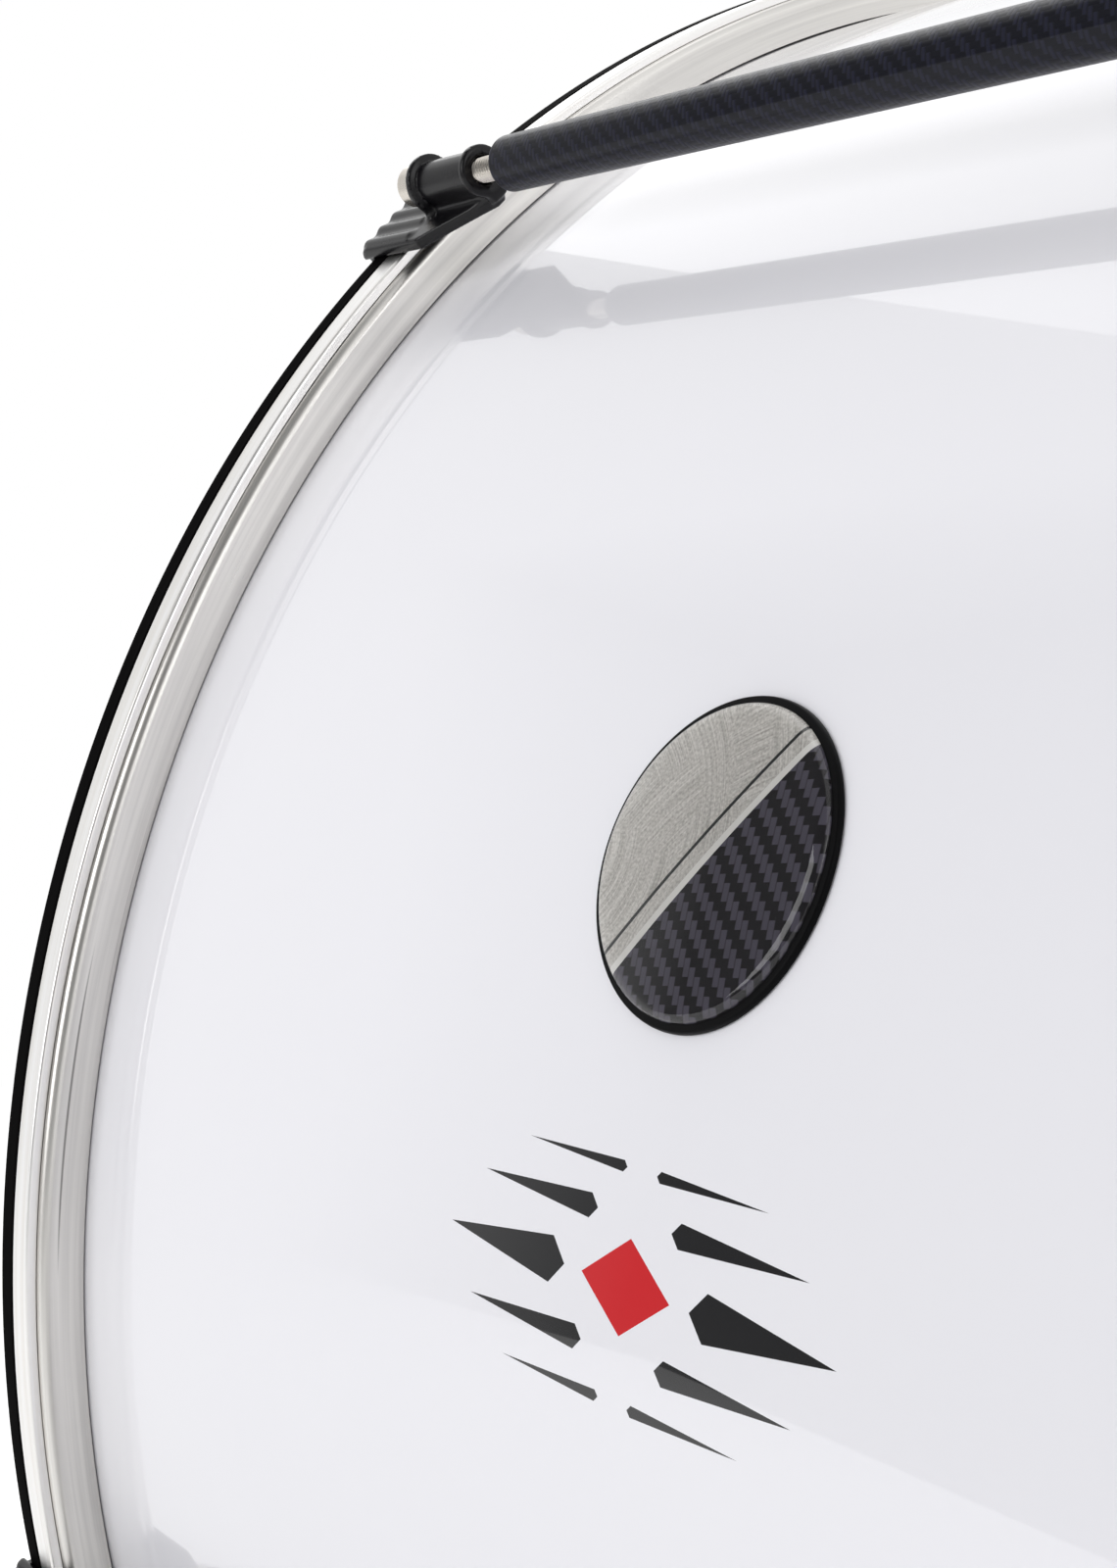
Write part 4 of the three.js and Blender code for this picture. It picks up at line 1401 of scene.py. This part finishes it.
clamp_long, clamp_round = collar_half_width + clamp_margin, collar_radius + clamp_margin
clamp_from = (-clamp_long, -clamp_round, -clamp_round)
clamp_to = (clamp_long, lug_reach + lug_radius + clamp_margin, clamp_round)
clamp_mesh = skin_of(clamp_field, clamp_from, clamp_to, clamp_cell, bright_steel)
wire_angles = [2 * math.pi * step / wire_sides for step in range(wire_sides)]
wire = [Vector((wire_radius * math.cos(angle), ring_radius + wire_radius * math.sin(angle)))
        for angle in wire_angles]
ring_mesh = turned(wire, wire_ring_sides, bright_steel)
hanging = Matrix.Rotation(math.pi / 2, 4, "Z")
for side in ENDS:
    swing_x, swing_y, swing_z = turning[f"strap_ring_{side}"]["pos_m"]
    place = Matrix.Translation((swing_x, 0, 0)) @ at_station(strap_station)
    piece(f"cast_strap_clamp_{side}", moved(clamp_mesh, place), "drum", "screw_steel", f"strap_clamp_{side}")
    middle = Matrix.Translation((swing_x, swing_y, swing_z - ring_radius))
    piece(f"wire_strap_ring_{side}", moved(ring_mesh, middle @ hanging), f"strap_ring_{side}", "screw_steel",
          f"strap_ring_{side}")
print("Clamps:", len(clamp_mesh.polygons), "faces each; rings:", len(ring_mesh.polygons))

# %% [markdown]
# ## Floor and light
#
# A white studio: the floor is pale and keeps the drum's shadow, and the world is white where the camera
# or a reflection looks at it. Behind the camera the studio is darker, as real ones are, so that black and
# metal have something dark to reflect. Four soft boxes light the drum at a plain level: a wide one over
# and behind it, and one each in front, on the right and at the back.

# %% Floor
floor_half, floor_colour = 2.0, (0.8, 0.8, 0.8, 1)
glow_seen, glow_mirrored = 0.55, 0.3


def make_floor():
    mesh = bpy.data.meshes.new("floor")
    corners_of = [(-floor_half, -floor_half, 0), (floor_half, -floor_half, 0), (floor_half, floor_half, 0),
                  (-floor_half, floor_half, 0)]
    mesh.from_pydata(corners_of, [], [(0, 1, 2, 3)])
    floor = bpy.data.objects.new("floor", mesh)
    bpy.context.scene.collection.objects.link(floor)
    material, tree, shader = new_material(
        "Pale floor", Base_Color=floor_colour, Roughness=0.9, Emission_Color=(1, 1, 1, 1),
    )
    path = put(tree, "ShaderNodeLightPath").outputs
    seen = calc(tree, "ADD", path["Is Camera Ray"], path["Is Transmission Ray"], clamp=True)
    mirrored = calc(tree, "MULTIPLY", path["Is Glossy Ray"], glow_mirrored)
    shown = calc(tree, "ADD", calc(tree, "MULTIPLY", seen, glow_seen), mirrored)
    tree.links.new(shown, shader.inputs["Emission Strength"])
    mesh.materials.append(material)


make_floor()
print("Floor:", floor_half * 2, "m wide")

# %% World and lamps
# In a reflection the studio is white past the first number of each pair, and dark past the second.
behind_the_drum, left_of_the_drum = (-0.24, -0.4), (-0.85, -0.77)
white_studio, dark_studio, plain_light = 1.0, 0.22, 0.59
middle_of_drum = (0, 0, axis_height)
# For each soft box: its place, what it looks at, the way its width runs, width, height and power.
soft_boxes = {
    "Over and behind": ((-1.53, 0.32, 2.68), (-0.05, -0.25, 0.58), (0.49, -0.69, 0.53), 3.0, 1.6, 11.5),
    "Front": ((-0.7, -2.65, 1.1), middle_of_drum, (1, 0, 0), 1.6, 1.6, 24),
    "Right": ((2.8, 0.2, 1.3), middle_of_drum, (0, 1, 0), 1.6, 1.6, 12),
    "Back": ((-0.2, 2.8, 1.3), middle_of_drum, (1, 0, 0), 1.6, 1.6, 14),
}


def make_world():
    world = bpy.data.worlds.new("Studio")
    bpy.context.scene.world = world
    world.use_nodes = True
    tree = world.node_tree
    tree.nodes.clear()
    way = separate(tree, put(tree, "ShaderNodeTexCoord").outputs["Generated"])
    behind = spread(tree, way["Y"], *behind_the_drum, white_studio, dark_studio)
    beside = spread(tree, way["X"], *left_of_the_drum, white_studio, dark_studio)
    path = put(tree, "ShaderNodeLightPath").outputs
    lighting = mix_values(tree, path["Is Glossy Ray"], plain_light, calc(tree, "MAXIMUM", behind, beside))
    clear = calc(tree, "ADD", path["Is Camera Ray"], path["Is Transmission Ray"], clamp=True)
    strength = mix_values(tree, clear, lighting, 1.0)
    background = put(tree, "ShaderNodeBackground", {"Color": (1, 1, 1, 1), "Strength": strength})
    output = put(tree, "ShaderNodeOutputWorld", {"Surface": background.outputs[0]})
    output.is_active_output = True


def soft_box(name, at, look_at, along, width, height, power):
    """A rectangular lamp that looks at a point, with its width along a direction."""
    lamp = bpy.data.lights.new(name, "AREA")
    lamp.shape = "RECTANGLE"
    lamp.size, lamp.size_y = width, height
    lamp.energy = power
    made = bpy.data.objects.new(name, lamp)
    bpy.context.scene.collection.objects.link(made)
    back = (Vector(at) - Vector(look_at)).normalized()
    up = back.cross(Vector(along)).normalized()
    made.matrix_world = Matrix.Translation(at) @ Matrix((up.cross(back), up, back)).transposed().to_4x4()


make_world()
for name, settings in soft_boxes.items():
    soft_box(name, *settings)
print("Lamps:", list(soft_boxes))

# %% [markdown]
# ## Camera
#
# The camera was matched to the hoop's edges, the tube and the badge. Its lens is given by the picture's
# height, 1600 pixels, and the focal length in pixels that the match gave.

# %% Camera
focal_pixels, picture_height, sensor = 2545.3, 1600, 36.0
camera_at = (0.3193, -0.5638, 0.5182)
camera_pan, camera_tilt, camera_roll = 55.082, -5.094, -0.204
camera_data = bpy.data.cameras.new("Camera")
camera_data.sensor_width = sensor
camera_data.lens = focal_pixels * sensor / picture_height
camera = bpy.data.objects.new("Camera", camera_data)
bpy.context.scene.collection.objects.link(camera)
turn_camera = (Matrix.Rotation(math.radians(camera_pan), 4, "Z")
               @ Matrix.Rotation(math.radians(90 + camera_tilt), 4, "X")
               @ Matrix.Rotation(math.radians(camera_roll), 4, "Z"))
camera.matrix_world = Matrix.Translation(camera_at) @ turn_camera
bpy.context.scene.camera = camera
bpy.context.scene.view_settings.view_transform = "Standard"
print("Camera with a lens of", round(camera_data.lens, 2), "mm")
